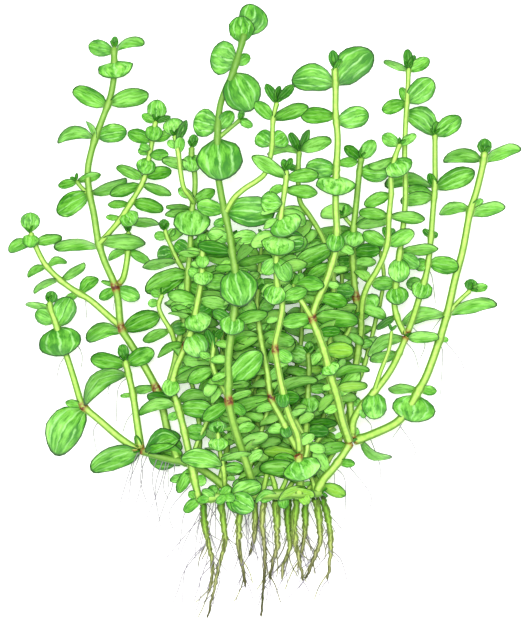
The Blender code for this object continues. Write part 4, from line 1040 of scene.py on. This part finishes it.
FORMS = {name: place_leaves(name, grown) for name, grown in SHOOTS.items()}
PLANNED = [(on_leaf(form, 0, 0), form["length"]) for forms in FORMS.values() for form in forms]
print("planned leaves", len(PLANNED))

# %% [markdown]
# ## Lines of the back shoots
#
# A bunch has more shoots than an eye can count. Thinner stems rise behind the ones in the plan:
# six of them low, close to the surface, and eleven in the heart of the bunch, from the base, the
# trunks and a few shoots. Their lines are laid out before any leaf fills the heart, so that none
# grows through them. A line in the heart sinks until it passes under the planned leaves.

# %% The plan of the back shoots
BACK_STEMS = [
    [(215, 496, 52), (222, 470, 45), (230, 430, 30), (226, 390, 24), (222, 350, 22), (224, 310, 20),
     (228, 270, 18), (232, 235, 20)],
    [(240, 494, 54), (252, 460, 45), (258, 420, 34), (254, 380, 28), (250, 340, 24), (256, 300, 22),
     (260, 262, 20), (262, 235, 20)],
    [(262, 494, 55), (270, 460, 40), (276, 430, 26), (290, 390, 20), (300, 350, 18), (302, 310, 18),
     (300, 270, 18), (304, 235, 20)],
    [(285, 493, 55), (300, 470, 36), (318, 440, 20), (326, 400, 16), (330, 360, 15), (338, 320, 15),
     (342, 280, 15), (340, 245, 16)],
    [(305, 493, 54), (322, 470, 30), (340, 440, 16), (352, 400, 12), (366, 360, 12), (376, 320, 12),
     (384, 280, 12), (380, 250, 14)],
    [(196, 498, 50), (196, 470, 36), (200, 440, 24), (196, 400, 20), (188, 370, 18), (184, 330, 18),
     (178, 300, 18), (176, 275, 20)]]
HEART_STEMS = [                    # the carrier, the place on it, and the points from there
    ("creeping_base", [(277, 494), (274, 482, 48), (270, 470, 44), (266, 456, 42), (262, 440, 42)]),
    ("creeping_base", [(279, 494), (285, 482, 50), (289, 470, 48), (292, 458, 46), (294, 444, 46)]),
    ("creeping_base", [(316, 492), (313, 482, 50), (308, 471, 48), (302, 460, 46), (296, 448, 46)]),
    ("centre_trunk", [(300, 470), (307, 446, 64), (297, 423, 62), (285, 403, 60), (276, 386, 60)]),
    ("centre_trunk", [(300, 478), (311, 450, 58), (325, 432, 54), (337, 421, 52), (344, 402, 50)]),
    ("shoot_tallest", [(248, 467), (257, 445, 62), (264, 422, 60), (271, 402, 60), (284, 380, 60)]),
    ("shoot_tallest", [(236, 432), (247, 400, 76), (260, 374, 70), (268, 354, 68)]),
    ("shoot_centre_slim", [(329, 366), (339, 346, 60), (348, 331, 58), (354, 316, 56)]),
    ("shoot_centre_slim", [(329, 358), (325, 338, 66), (320, 320, 68), (318, 306, 68)]),
    ("shoot_left_centre", [(191, 460), (200, 436, 56), (210, 415, 56), (216, 392, 58)]),
    ("shoot_right_centre", [(350, 400), (343, 378, 44), (342, 356, 46), (346, 338, 48)])]
print("back stems planned", len(BACK_STEMS) + len(HEART_STEMS))

# %% The lines of the back shoots
BACK_STEM_WIDE = 4.2               # grid units
FOOT_POINTS = 4                    # line points near its carrier that a stem may pass others at
DROPS = range(0, 60, 3)            # how far a line in the heart may sink, in grid units


def strip_tree(line):
    """A search tree of a flat strip along a line, as broad as a back stem."""
    rim = []
    for k, point in enumerate(line):
        aside = -left_of(step_at(line, k)) * BACK_STEM_WIDE / 2
        rim += [point - aside, point + aside]
    quads = [(2 * k, 2 * k + 1, 2 * k + 3, 2 * k + 2) for k in range(len(line) - 1)]
    return BVHTree.FromPolygons(rim, quads)


def sunk(line):
    """The line lowered beyond its foot until it meets no solid and no leaf, or None."""
    others = [*TREES.values(), *(blade for cell in PLACED.values() for _, blade in cell)]
    for drop in DROPS:
        trial = [point - UP * drop * min(1.0, k / FOOT_POINTS) for k, point in enumerate(line)]
        strip = strip_tree(trial[FOOT_POINTS:])
        above = min(point.z for point in trial) > BACK_STEM_WIDE
        if above and not any(other.overlap(strip) for other in others):
            return trial
    return None


BACK_LINES = {f"back_{k}": smooth_line(points) for k, points in enumerate(BACK_STEMS)}
for k, (carrier, points) in enumerate(HEART_STEMS):
    found = sunk(smooth_line([foot_of(carrier, points[0]), *points[1:]]))
    if found:
        BACK_LINES[f"heart_{k}"] = found
TREES.update({name: strip_tree(line) for name, line in BACK_LINES.items()})
print("back stems", len(BACK_LINES), list(BACK_LINES))

# %% [markdown]
# ## Tones
#
# The bunch isn't one green: its tones differ from shoot to shoot and from leaf to leaf, and a few
# leaves are yellowish. Light and shade are painted into the tones too: leaves turned to the light
# and leaves on edge are painted paler, a few leaves are painted darker as painted shade, some of it
# deep, and most shoots in the heart are painted paler against the shade they lie in. Each shoot
# therefore has a tone from 0, dark, to 1, pale, and lists of spots name the leaves that differ
# from their shoot.

# %% The tones of shoots and leaves
# each shoot's own tone; most in the heart are set paler as painted light against the shade they lie in
SHOOT_TONES_WITH_PAINTED_LIGHT = {
    "shoot_left_back": 0.62, "shoot_left_twig": 0.6, "shoot_left_slim": 0.64,
    "shoot_left_forked": 0.64, "shoot_centre_slim": 0.66, "shoot_right_centre": 0.68,
    "shoot_centre_plain": 0.62, "shoot_low_small": 0.62, "shoot_low_centre": 0.66,
    "shoot_left_centre": 0.62, "shoot_tallest": 0.44, "shoot_centre_veined": 0.6,
    "right_upper_trunk": 0.62, "shoot_inner_left": 0.64, "shoot_right_pair": 0.62}
PLAIN_TONE = 0.48
TONE_SPREAD = 0.08                 # how far a leaf's tone may be from its shoot's
EDGE_ON_PAINTED_LIGHT = 0.5                 # how much paler a leaf on edge is painted than a flat one, as painted light for the less light it gets
PAINTED_SHADE_AND_LIGHT_SPOTS = [                     # painted deep shade, painted shade and painted light on leaves, by the places of their middles
    (0.18, [(164, 254), (182, 246), (190, 292), (208, 290), (215, 248), (158, 395), (163, 435),
            (297, 243), (344, 262), (344, 290), (289, 397), (318, 430), (290, 425), (222, 312),
            (180, 328), (208, 308), (385, 317), (366, 251), (330, 330), (134, 96), (166, 460)]),
    (0.34, [(250, 213), (352, 68), (62, 342)]),
    (0.84, [(219, 237), (244, 238), (205, 275), (200, 321), (183, 297), (216, 303), (277, 335),
            (399, 269), (302, 352), (333, 365), (351, 239), (246, 485), (275, 245), (337, 186),
            (135, 97)])]
BUD_SPOTS = [
    (115, 42), (193, 142), (333, 62), (338, 68), (408, 60), (410, 62), (485, 146), (436, 128),
    (51, 297), (123, 352), (138, 442), (278, 97), (242, 117), (164, 225), (184, 133),
    (287, 168), (354, 213), (294, 144), (304, 143), (429, 180), (427, 232), (434, 235),
    (360, 156), (471, 285), (214, 340), (390, 233), (158, 119), (30, 224), (210, 340)]
BUD_TONE = 0.15
BUD_WIDTH = 16.0                   # buds are narrower than this
YELLOW_SPOTS = [
    (345, 352), (278, 457), (268, 468), (336, 494), (310, 370), (350, 385), (174, 506), (298, 494)]
YELLOWED = 0.7                     # how yellow those leaves are
SPOT_REACH = 8.0                   # grid units from a leaf's middle to a spot that names it
VEINED_WIDTH = 19.0                # leaves seen at least this broad show their veins strongly
STRONG_VEINS = 0.9
FAINT_VEINS = 0.5


def near_spot(middle, spots):
    """Whether a leaf's middle lies near one of the spots."""
    return any((middle - Vector(spot)).length < SPOT_REACH for spot in spots)


def looks_of(name, leaf, form, chance):
    """Tone, with its painted light and shade, strength of the veins, and yellowness of a leaf."""
    middle = (Vector(leaf[BASE]) + Vector(leaf[TIP])) / 2
    tone = SHOOT_TONES_WITH_PAINTED_LIGHT.get(name, PLAIN_TONE) + chance.uniform(-TONE_SPREAD, TONE_SPREAD)
    tone += EDGE_ON_PAINTED_LIGHT * (1 - form["normal"].z)
    for painted_tone, spots in PAINTED_SHADE_AND_LIGHT_SPOTS:
        if near_spot(middle, spots):
            tone = painted_tone
    if near_spot(middle, BUD_SPOTS) and leaf[WIDTH] < BUD_WIDTH:
        tone = BUD_TONE
    veined = STRONG_VEINS if leaf[WIDTH] >= VEINED_WIDTH else FAINT_VEINS
    yellow = YELLOWED if near_spot(middle, YELLOW_SPOTS) else 0.0
    return tone, veined, yellow


print("spots", sum(len(spots) for _, spots in PAINTED_SHADE_AND_LIGHT_SPOTS) + len(BUD_SPOTS) + len(YELLOW_SPOTS))

# %% [markdown]
# ## Growing the shoots
#
# Every shoot becomes one mesh: its stem and twigs as rods, then its leaves, all with the look
# attribute and the leaf map. Its normals are turned outwards at the end, because a leaf that was
# laid out to the left is a mirror image of one to the right. The piece then stands for its solid.
# A stem swells a little where leaves sit, narrows towards its tip and is painted in deeper shade
# there, and is red near a joint. A pair of tiny dark leaves closes its tip, as the growing bud
# does on the plant, and small leaves fill the heart of the bunch behind the planned ones, painted
# paler against the shade they lie in.

# %% Finished pieces
def add_object(name, data):
    """An object in the scene that shows a mesh, a lamp or a camera."""
    made = bpy.data.objects.new(name, data)
    bpy.context.scene.collection.objects.link(made)
    return made


def mesh_object(name, bm, materials):
    """An object that shows a bmesh in its materials."""
    mesh = bpy.data.meshes.new(name)
    bm.to_mesh(mesh)
    bm.free()
    for each in materials:
        mesh.materials.append(each)
    return add_object(name, mesh)


def finish_piece(name, bm, materials):
    """Turns a bmesh on the grid into a finished piece of the bunch, in metres."""
    for vert in bm.verts:
        vert.co = metres(vert.co)
    bmesh.ops.recalc_face_normals(bm, faces=bm.faces)
    piece = mesh_object(name, bm, materials)
    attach(piece, "root")
    return piece


print("a piece is built on the grid, and 1 grid unit is", UNIT * 1000, "mm")

# %% Stems and their joints
JOINT_SPOTS = {
    "shoot_left_tall": [(117, 285), (121, 327), (156, 388)], "left_arm": [(139, 451)],
    "shoot_lower_left": [(81, 406)], "shoot_left_centre": [(186, 345)],
    "shoot_tallest": [(229, 399)], "shoot_centre_plain": [(271, 397)],
    "shoot_centre_veined": [(275, 349)], "shoot_centre_tall": [(311, 317)],
    "shoot_right_centre": [(355, 296)], "right_upper_trunk": [(406, 334)],
    "centre_trunk": [(298, 451)], "right_trunk": [(350, 440)]}
JOINTS = [foot_of(name, spot) for name, spots in JOINT_SPOTS.items() for spot in spots]
FLUSH_REACH = 6.5                  # grid units that the red of a joint spreads
FLUSH_FULL = 1.6                   # above 1 the middle of the flush is evenly red
STEM_TONES = {                     # at the tip, from 0, in deep shade, to 1, in the light
    "shoot_tallest": 0.15, "shoot_left_tall": 0.38, "shoot_left_back": 0.6,
    "shoot_centre_slim": 0.6, "left_arm": 0.2, "creeping_base": 0.4, "shoot_low_centre": 0.55,
    "shoot_right_centre": 0.6, "shoot_right_tall": 1.0, "shoot_right_outer": 1.0}
PLAIN_STEM_TONE = 0.95
STEM_FOOT_LESS_SHADE = 0.5                   # how much less painted shade a stem has at its foot than at its tip
STEM_BROAD = 1.3                   # a stem's flats stand this far out, for a radius of 1
STEM_TAPER = 0.24                  # how much of its width a stem loses from foot to tip
FOOT_BLUNT = 0.5                   # how blunt its foot is
NODE_SWELL = 0.22                  # how much a stem swells where leaves sit
NODE_LONG = 3.0                    # grid units over which it does
FAR = 99.0                         # grid units at which a leaf has no effect on its stem


def joint_flush(point):
    """How red a stem is at a grid point, from 0 to 1."""
    near = min((point - joint).length for joint in JOINTS)
    return min(1.0, FLUSH_FULL * max(0.0, 1 - near / FLUSH_REACH))


def grow_stem(bm, line, radius, feet, tone, chance):
    """Adds a stem that swells at its leaves' feet and ends in a small tip."""
    seed = chance.random()
    last = len(line) - 1

    def radius_at(share):
        point = line[round(share * last)]
        near = min(((point - foot).length for foot in feet), default=FAR)
        swell = 1 + NODE_SWELL * math.exp(-(near / NODE_LONG) ** 2)
        ends = rounded(last - share * last, TIP_BLUNT) * rounded(share * last, FOOT_BLUNT)
        return radius * STEM_BROAD * (1 - STEM_TAPER * share) * swell * ends

    def look_at(share, rib):
        return (tone + STEM_FOOT_LESS_SHADE * (1 - share), rib, joint_flush(line[round(share * last)]), seed)

    grow_rod(bm, line, radius_at, look_at, STEM_SLOT)


# %% Buds
BUD_LONG = 5.5                     # grid units
BUD_BROAD = 0.6                    # a bud leaf's width as seen, as a share of its length
BUD_LIFT = 3.0                     # grid units that its tip rises
BUD_SPLAY = (0.5, 0.9)             # least and most that its tip turns aside
BUD_VEINS = 0.2


def grow_bud(bm, line, chance):
    """Adds the two tiny leaves that close a stem's tip."""
    ahead = (line[-1] - line[-3]).normalized()
    aside = left_of(ahead)
    for hand in (1, -1):
        tip = line[-1] + (ahead + aside * hand * chance.uniform(*BUD_SPLAY)) * BUD_LONG
        leaf = (*line[-1].xy, *tip.xy, BUD_LONG * BUD_BROAD, BUD_LIFT)
        form = leaf_form(line[-1] - ahead, leaf, 1.0, BUD_LIFT, hand)
        grow_leaf(bm, form, BUD_TONE, BUD_VEINS, 0.0, chance)


print("a bud is", round(BUD_LONG * UNIT * 1000, 2), "mm long")

# %% The heart of the bunch
HEART_MIDDLE = 272                 # the dense part's middle line, on the grid
HEART_TOP = 210                    # the grid lines that it lies between
HEART_LOW = 486
HEART_FOOT = 52                    # half its width at the low end
HEART_SPREAD = 0.42                # how fast it widens upwards
HEART_BROAD = 108                  # half its width where it is widest


def in_heart(point):
    """Whether a grid point lies in the dense part of the bunch, which narrows to the base."""
    reach = min(HEART_BROAD, HEART_FOOT + HEART_SPREAD * (HEART_LOW - point.y))
    return HEART_TOP < point.y < HEART_LOW and abs(point.x - HEART_MIDDLE) < reach


print("points of lines in the heart", sum(in_heart(p) for lines in LINES.values() for p in lines[0]))

# %% Hidden leaves
PAIR_STEP = 10.5                   # grid units along a stem between hidden pairs
HIDDEN_LONG = (18, 36)             # least and most length of a hidden leaf
HIDDEN_BROAD = (0.38, 0.58)        # of its width as seen, as a share of its length
HIDDEN_SPLAY = (-0.5, 0.7)         # of its turn towards the stem's foot or tip
HIDDEN_BOW = (-2, 2)
HIDDEN_LIFT = (-25, 4)
BLADES_MEET = 0.3                  # leaves whose middles are nearer than this share of their lengths meet
STEM_MEETS = 0.35                  # and so do a leaf and a stem, by the leaf's length
FRONT = (                          # shoots whose stems no hidden leaf covers
    "shoot_tallest", "shoot_left_centre", "shoot_centre_plain", "shoot_centre_veined",
    "shoot_centre_tall", "shoot_right_pair", "right_upper_trunk", "shoot_right_inner",
    "shoot_low_small", "centre_trunk", "right_trunk")
FRONT_POINTS = [p for name in FRONT for p in LINES[name][0]]


def flat_index(points):
    """A search tree of grid points as seen from above."""
    tree = KDTree(len(points))
    for k, point in enumerate(points):
        tree.insert((point.x, point.y, 0), k)
    tree.balance()
    return tree


PLANNED_INDEX = flat_index([spot for spot, _ in PLANNED])
FRONT_INDEX = flat_index(FRONT_POINTS)


def hides_others(form):
    """Whether a leaf in this form would cover a planned leaf or a stem in front."""
    middle = on_leaf(form, 0, 0)
    here = (middle.x, middle.y, 0)
    for _, k, gap in PLANNED_INDEX.find_range(here, BLADES_MEET * (form["length"] + CELL)):
        spot, size = PLANNED[k]
        if middle.z > spot.z and gap < BLADES_MEET * (form["length"] + size):
            return True
    stems = FRONT_INDEX.find_range(here, STEM_MEETS * form["length"])
    return any(middle.z > FRONT_POINTS[k].z for _, k, _ in stems)


def hidden_leaves(name, line, chance):
    """Forms of the leaves that fill the heart of the bunch behind the planned ones."""
    every = max(1, round(PAIR_STEP / FINE_STEP))
    for k in range(every, len(line) - 2, every):
        base = line[k]
        if not in_heart(base):
            continue
        forward = step_at(line, k).normalized()
        for hand in (1, -1):
            reach = chance.uniform(*HIDDEN_LONG)
            heading = (left_of(forward) * hand + forward * chance.uniform(*HIDDEN_SPLAY)).normalized()
            tip = base + heading * reach
            broad = reach * chance.uniform(*HIDDEN_BROAD)
            leaf = (*base.xy, *tip.xy, broad, 0, chance.uniform(*HIDDEN_BOW))
            lift = chance.uniform(*HIDDEN_LIFT)
            if not in_heart(tip):
                continue
            forms = (leaf_form(base, leaf, size, lift * size, hand) for size in SIZES)
            found = next((form for form in forms if not hides_others(form) and is_clear(form, name)), None)
            if found:
                remember(name, found)
                yield found


print("points of the stems in front", len(FRONT_POINTS))

# %% The shoots
SHOOT_SEEDS = 1000
TWIG_WIDE = 0.6                    # a twig's width, as a share of its stem's
HIDDEN_PAINTED_LIGHT = (0.3, 0.75)         # least and most that a hidden leaf is painted paler than its shoot, against the shade it lies in
HIDDEN_VEINS = 0.45
HIDDEN_YELLOW = (0.0, 0.3)


def grow_shoot(name, grown, order):
    """One shoot as one mesh: stem, twigs and leaves."""
    chance = random.Random(SHOOT_SEEDS + order)
    bm = new_bmesh()[0]
    feet = [foot_of(name, leaf) for leaf in grown["leaves"]]
    radius = STEM_WIDE / 2 * grown["wide"]
    for k, line in enumerate(LINES[name]):
        tone = STEM_TONES.get(name, PLAIN_STEM_TONE)
        grow_stem(bm, line, radius * (TWIG_WIDE if k else 1.0), feet, tone, chance)
    for form, leaf in zip(FORMS[name], [*grown["leaves"], *MORE_LEAVES.get(name, ())]):
        grow_leaf(bm, form, *looks_of(name, leaf, form, chance), chance)
    for line in LINES[name]:
        grow_bud(bm, line, chance)
    for form in hidden_leaves(name, LINES[name][0], chance):
        tone = SHOOT_TONES_WITH_PAINTED_LIGHT.get(name, PLAIN_TONE) + chance.uniform(*HIDDEN_PAINTED_LIGHT)
        grow_leaf(bm, form, tone, HIDDEN_VEINS, chance.uniform(*HIDDEN_YELLOW), chance)
    piece = finish_piece("grown_" + name, bm, [LEAF_TISSUE, STEM_TISSUE])
    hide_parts(name)
    return len(piece.data.polygons)


counts = [grow_shoot(name, grown, k) for k, (name, grown) in enumerate(SHOOTS.items())]
print("leaves", sum(map(len, PLACED.values())), "faces", sum(counts))

# %% [markdown]
# ## Shoots at the back
#
# The back shoots fill the gaps with leaves of their own. They have no solids, because nothing
# would ever touch them there, so they are one piece that stands for none. Their leaves are tried
# in place like the others and left out where there is no room.

# %% The back shoots
BACK_SEED = 1500
BACK_TONES_PAINTED_PALE = (0.75, 1.3)           # least and most, painted pale against the shade the back leaves lie in; past 1 a leaf is pale all over
BACK_VEINS = 0.3


def grow_back_shoots():
    """All back shoots as one mesh."""
    chance = random.Random(BACK_SEED)
    bm = new_bmesh()[0]
    for name, line in BACK_LINES.items():
        forms = list(hidden_leaves(name, line, chance))
        grow_stem(bm, line, BACK_STEM_WIDE / 2, [form["base"] for form in forms], 1.0, chance)
        for form in forms:
            tone = chance.uniform(*BACK_TONES_PAINTED_PALE)
            grow_leaf(bm, form, tone, BACK_VEINS, chance.uniform(*HIDDEN_YELLOW), chance)
        grow_bud(bm, line, chance)
    return finish_piece("grown_back_shoots", bm, [LEAF_TISSUE, STEM_TISSUE])


back_shoots = grow_back_shoots()
print("back shoots", len(BACK_LINES), "faces", len(back_shoots.data.polygons))
print("leaves in all", sum(map(len, PLACED.values())))

# %% [markdown]
# ## Roots
#
# The main roots leave the creeping base as pale, firm strands, thin out, kink where they met
# gravel, and end in a frayed brown tuft. Each is a rod like the stems, but with a round section,
# an uneven girth, thinner strands that branch off it and hairs near its end, and it stands for
# one root solid.

# %% Strands and hairs
HAIR_WIDE = 0.0003 / UNIT          # diameter of a root hair or rootlet, as coarse as it needs to show
HAIR_TAPER = 0.35                  # how much of its width it loses from foot to tip
HAIR_AGE = 0.8                     # from 0, young and pale, to 1, old and brown
LYING = 0.5                        # grid units above the surface of a strand that lies on it
STRAND_TURN = 0.5                  # most that a strand turns aside as it leaves its root
STRAND_WANDER = 0.25               # and most that it does at each of its points
STRAND_POINTS = 3
STRAND_SINKS = 0.55                # height of each point, as a share of the one before
STRAND_STEP = 4.0                  # grid units between the points of its line


def grow_hair(bm, line, chance, wide=HAIR_WIDE, slot=0, age=HAIR_AGE):
    """Adds one thin strand along a grid line."""
    seed = chance.random()

    def radius_at(share):
        return wide / 2 * (1 - HAIR_TAPER * share)

    def look_at(share, rib):
        return (age, 0.0, 0.0, seed)

    grow_rod(bm, line, radius_at, look_at, slot, corner=1.0)


def strand_from(point, forward, reach, chance):
    """A wandering line that leaves a root at a point and sinks to the surface."""
    line = [point]
    turn = chance.uniform(-STRAND_TURN, STRAND_TURN)
    heading = Vector((forward.x + turn, forward.y, 0)).normalized()
    for _ in range(STRAND_POINTS):
        wander = chance.uniform(-STRAND_WANDER, STRAND_WANDER)
        heading = (heading + Vector((wander, 0, 0))).normalized()
        ahead = line[-1] + heading * reach / STRAND_POINTS
        ahead.z = max(line[-1].z * STRAND_SINKS, LYING)
        line.append(ahead)
    return smooth_line(line, STRAND_STEP)


print("a hair is", round(HAIR_WIDE * UNIT * 1000, 2), "mm thick")

# %% The main roots
ROOT_SEEDS = 2000
ROOT_TAPER = 1.6                   # above 1 a root keeps its width for longer
ROOT_YOUTH = (-0.1, 0.15)          # least and most age at a root's start
ROOT_AGEING = 0.95                 # how much older it is at its tip
ROOT_HABITS = {"root_02": (0.9, 0.1), "root_05": (0.5, 0.4)}   # taper and first age of two thin roots
ROOT_BROAD = 1.1                   # a living root's width, as a share of its solid's
ROOT_TIP = 0.25                    # a root's width at its tip, as a share of its base
ROOT_CORNER = 1.05                 # a root is nearly round
ROOT_KINK = 0.7                    # most that a point of its line is off to a side, in grid units
ROOT_GIRTH = (0.8, 1.15)           # least and most of its width from point to point
ROOT_END = on_grid(CAD_BOX[0]).y   # the grid line that no root passes
BARE_SHARE = 0.15                  # share of a root, from its base, that nothing branches off
STRANDS = ((1.3, 4, 14, 34, 0), (HAIR_WIDE, 9, 10, 34, 1))     # width, count, lengths, material slot
STRAND_AGES = (0.75, 1.0)


def grow_root(name, points, order):
    """One main root with its strands and hairs."""
    chance = random.Random(ROOT_SEEDS + order)
    bm = new_bmesh()[0]
    line = smooth_line(points)
    last = len(line) - 1
    for point in line[1:-1]:
        point.x += chance.uniform(-ROOT_KINK, ROOT_KINK)
    girth = [chance.uniform(*ROOT_GIRTH) for _ in line]
    seed = chance.random()
    taper, start = ROOT_HABITS.get(name, (ROOT_TAPER, chance.uniform(*ROOT_YOUTH)))

    def radius_at(share):
        thin = 1 + (ROOT_TIP - 1) * share ** taper
        tip = rounded(last - share * last, TIP_BLUNT)
        return ROOT_WIDE / 2 * ROOT_BROAD * thin * girth[round(share * last)] * tip

    def look_at(share, rib):
        return (max(0.0, start + share * ROOT_AGEING), rib, 0.0, seed)

    grow_rod(bm, line, radius_at, look_at, 0, corner=ROOT_CORNER)
    for wide, count, shortest, longest, slot in STRANDS:
        for _ in range(count):
            k = chance.randint(round(last * BARE_SHARE), last - 1)
            forward = (line[k + 1] - line[k]).normalized()
            strand = strand_from(line[k], forward, chance.uniform(shortest, longest), chance)
            if strand[-1].y < ROOT_END:
                grow_hair(bm, strand, chance, wide, slot, chance.uniform(*STRAND_AGES))
    piece = finish_piece("grown_" + name, bm, [ROOT_SKIN, ROOTLET_FIBRE])
    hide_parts(name)
    return len(piece.data.polygons)


root_faces = [grow_root(f"root_{k + 1:02d}", points, k) for k, points in enumerate(ROOTS)]
print("roots", len(root_faces), "faces", sum(root_faces))

# %% [markdown]
# ## Rootlets
#
# Every joint of a lindernia stem can grow rootlets, thin as hair. Out of the water they fall to
# the surface and lie on it, pointing away from the shoot tips. Each is planned as a few grid
# points; the first is moved onto the nearest stem or root, and the strand sinks from there.

# %% The plan of the rootlets
ROOTLETS = [
    [(138, 460), (127, 485)], [(141, 462), (142, 478), (135, 507)], [(133, 460), (116, 515)],
    [(133, 465), (128, 500)], [(140, 478), (147, 505)], [(152, 478), (157, 508)],
    [(160, 485), (145, 522)], [(155, 490), (161, 530)], [(163, 485), (168, 500)],
    [(168, 455), (168, 488)], [(172, 487), (166, 500), (156, 528)],
    [(170, 510), (173, 530), (172, 537)], [(184, 515), (181, 535), (177, 555)],
    [(165, 560), (162, 572)], [(185, 570), (178, 590), (171, 608)], [(186, 567), (182, 605)],
    [(205, 567), (193, 605)], [(200, 579), (200, 598), (195, 614)],
    [(220, 580), (215, 597), (208, 616)], [(237, 555), (234, 570)], [(240, 590), (236, 602)],
    [(264, 580), (263, 600), (260, 616)], [(268, 590), (265, 608)], [(280, 585), (276, 594)],
    [(306, 577), (310, 584)], [(309, 592), (309, 605)], [(321, 590), (318, 607)],
    [(341, 560), (347, 580), (348, 586)], [(345, 480), (345, 520)], [(335, 470), (335, 485)],
    [(370, 493), (369, 511)], [(380, 465), (380, 483)], [(59, 365), (56, 380)],
    [(80, 350), (80, 370)], [(84, 300), (86, 318)], [(114, 300), (113, 310)],
    [(93, 430), (96, 452)], [(118, 388), (116, 422)], [(108, 388), (109, 395)],
    [(127, 420), (122, 433)], [(432, 275), (436, 303)], [(440, 320), (433, 330)],
    [(425, 342), (421, 358)], [(414, 352), (419, 368)], [(443, 350), (441, 395)],
    [(462, 362), (465, 378)], [(402, 424), (393, 438)], [(415, 448), (413, 458)],
    [(371, 425), (371, 435)]]
print("rootlets planned", len(ROOTLETS))

# %% The rootlets
ROOTLET_SEED = 3000
ON_ANCHOR = 4                      # a strand whose anchor is nearer than this starts at the anchor
ROOTLET_SINKS = 0.45               # height of each point, as a share of the one before
ROOTLET_STEP = 6.0                 # grid units between the points of its line
ANCHORS = [p for lines in LINES.values() for line in lines for p in line]
ANCHORS += [p for points in ROOTS for p in smooth_line(points)]
DEEP_COST = 0.02                   # a strand is the likelier to hang from a stem that lies high
ASIDE_COST = 3                     # and far less from one to its side
ASIDE_SLOPE = 1.2
ASIDE_ROOM = 2                     # grid units
BASE_HAIRS = 34                    # loose hairs that hang from the creeping base
BASE_HAIR_LONG = (30, 85)          # their least and most length in grid units


def anchor_for(start):
    """The point of a stem or root that a strand starting at a place most likely hangs from."""
    def cost(p):
        aside = abs(p.x - start.x) * ASIDE_SLOPE - (start.y - p.y) - ASIDE_ROOM
        return (p.xy - start).length - DEEP_COST * p.z + ASIDE_COST * max(0.0, aside)

    return min(ANCHORS, key=cost)


def grow_rootlets():
    """All rootlets as one mesh."""
    chance = random.Random(ROOTLET_SEED)
    bm = new_bmesh()[0]
    for points in ROOTLETS:
        start = Vector(points[0])
        anchor = anchor_for(start)
        route = [anchor]
        height = anchor.z
        for x, y in points if (anchor.xy - start).length > ON_ANCHOR else points[1:]:
            height *= ROOTLET_SINKS
            route.append(Vector((x, y, max(height, LYING))))
        route[-1].z = LYING
        grow_hair(bm, smooth_line(route, ROOTLET_STEP), chance)
    for _ in range(BASE_HAIRS):
        start = chance.choice(LINES["creeping_base"][0])
        strand = strand_from(start, Vector((0, 1, 0)), chance.uniform(*BASE_HAIR_LONG), chance)
        grow_hair(bm, strand, chance)
    return finish_piece("rootlets", bm, [ROOTLET_FIBRE])


rootlets = grow_rootlets()
bpy.data.meshes.remove(SCRATCH)
print("rootlets", len(ROOTLETS), "faces", len(rootlets.data.polygons))

# %% [markdown]
# ## Surface, light and camera
#
# The bunch lies on a plain white surface the way a plant is laid out to be drawn. One broad soft
# lamp and an even white sky light it from nearly straight above, and the surface glows faintly
# like a light table, so that it stays white and no shadow greys it. The camera looks straight
# down from two metres with a long lens, so that the picture has almost no perspective, and its
# distance is worked out from the picture's height.

# %% Surface
FLOOR_SIZE = 6.0                   # metres
WHITE_SURFACE = "F7F7F5"
BOARD_WHITES = [(0.0, "F5F5F3"), (1.0, WHITE_SURFACE)]
TABLE_GLOW = 0.4                   # light that the surface gives off itself


def lay_surface():
    """Matt white board: almost without shine, with a barely uneven white."""
    made, tree, shader = new_material("matt_white_board")
    shade = node(tree, RAMP, node(tree, NOISE, node(tree, PLACE).outputs["Object"], Scale=3.0))
    paint(shade, BOARD_WHITES)
    fill(tree, shader, Base_Color=shade, Roughness=0.9, Specular_IOR_Level=0.1,
         Emission_Color=linear(WHITE_SURFACE), Emission_Strength=TABLE_GLOW)
    bm = bmesh.new()
    bmesh.ops.create_grid(bm, x_segments=1, y_segments=1, size=FLOOR_SIZE / 2)
    board = mesh_object("surface", bm, [made])


lay_surface()
print("surface", FLOOR_SIZE, "m")

# %% Light
SKY_STRENGTH = 1.1
SKY_WHITE = (1.0, 1.0, 1.0, 1.0)
LAMP_POWER = 17.0                  # watts
LAMP_WIDE = 0.5                    # metres
LAMP_PLACE = Vector((-0.1, 0.16, 1.47))


def light_up():
    """An even sky and one broad lamp."""
    world = bpy.data.worlds.new("even_sky")
    world.use_nodes = True
    fill(world.node_tree, world.node_tree.nodes["Background"], Color=SKY_WHITE, Strength=SKY_STRENGTH)
    bpy.context.scene.world = world
    lamp = bpy.data.lights.new("broad_lamp", "AREA")
    lamp.shape = "DISK"
    lamp.size = LAMP_WIDE
    lamp.energy = LAMP_POWER
    holder = add_object("broad_lamp", lamp)
    holder.location = LAMP_PLACE
    holder.rotation_euler = (-LAMP_PLACE).to_track_quat("-Z", "Y").to_euler()
    bpy.context.scene.view_settings.view_transform = "Standard"


light_up()
print("sky", SKY_STRENGTH, "lamp", LAMP_POWER, "W")

# %% Camera
PICTURE_HIGH = 622                 # pixels, one grid unit each
PICTURE_MIDDLE = (265.0, 311.0)
LENS = 400.0                       # millimetres
SENSOR = 36.0
FOCUS_HEIGHT = 24.0                # grid units above the surface that are shown at true size
FAR_CLIP = 20.0                    # metres

camera_data = bpy.data.cameras.new("camera")
camera_data.lens = LENS
camera_data.sensor_width = SENSOR
camera_data.clip_end = FAR_CLIP
camera = add_object("camera", camera_data)
distance = PICTURE_HIGH * UNIT * LENS / SENSOR
camera.location = metres((*PICTURE_MIDDLE, FOCUS_HEIGHT)) + UP * distance
bpy.context.scene.camera = camera
print("camera at", [round(c, 4) for c in camera.location])
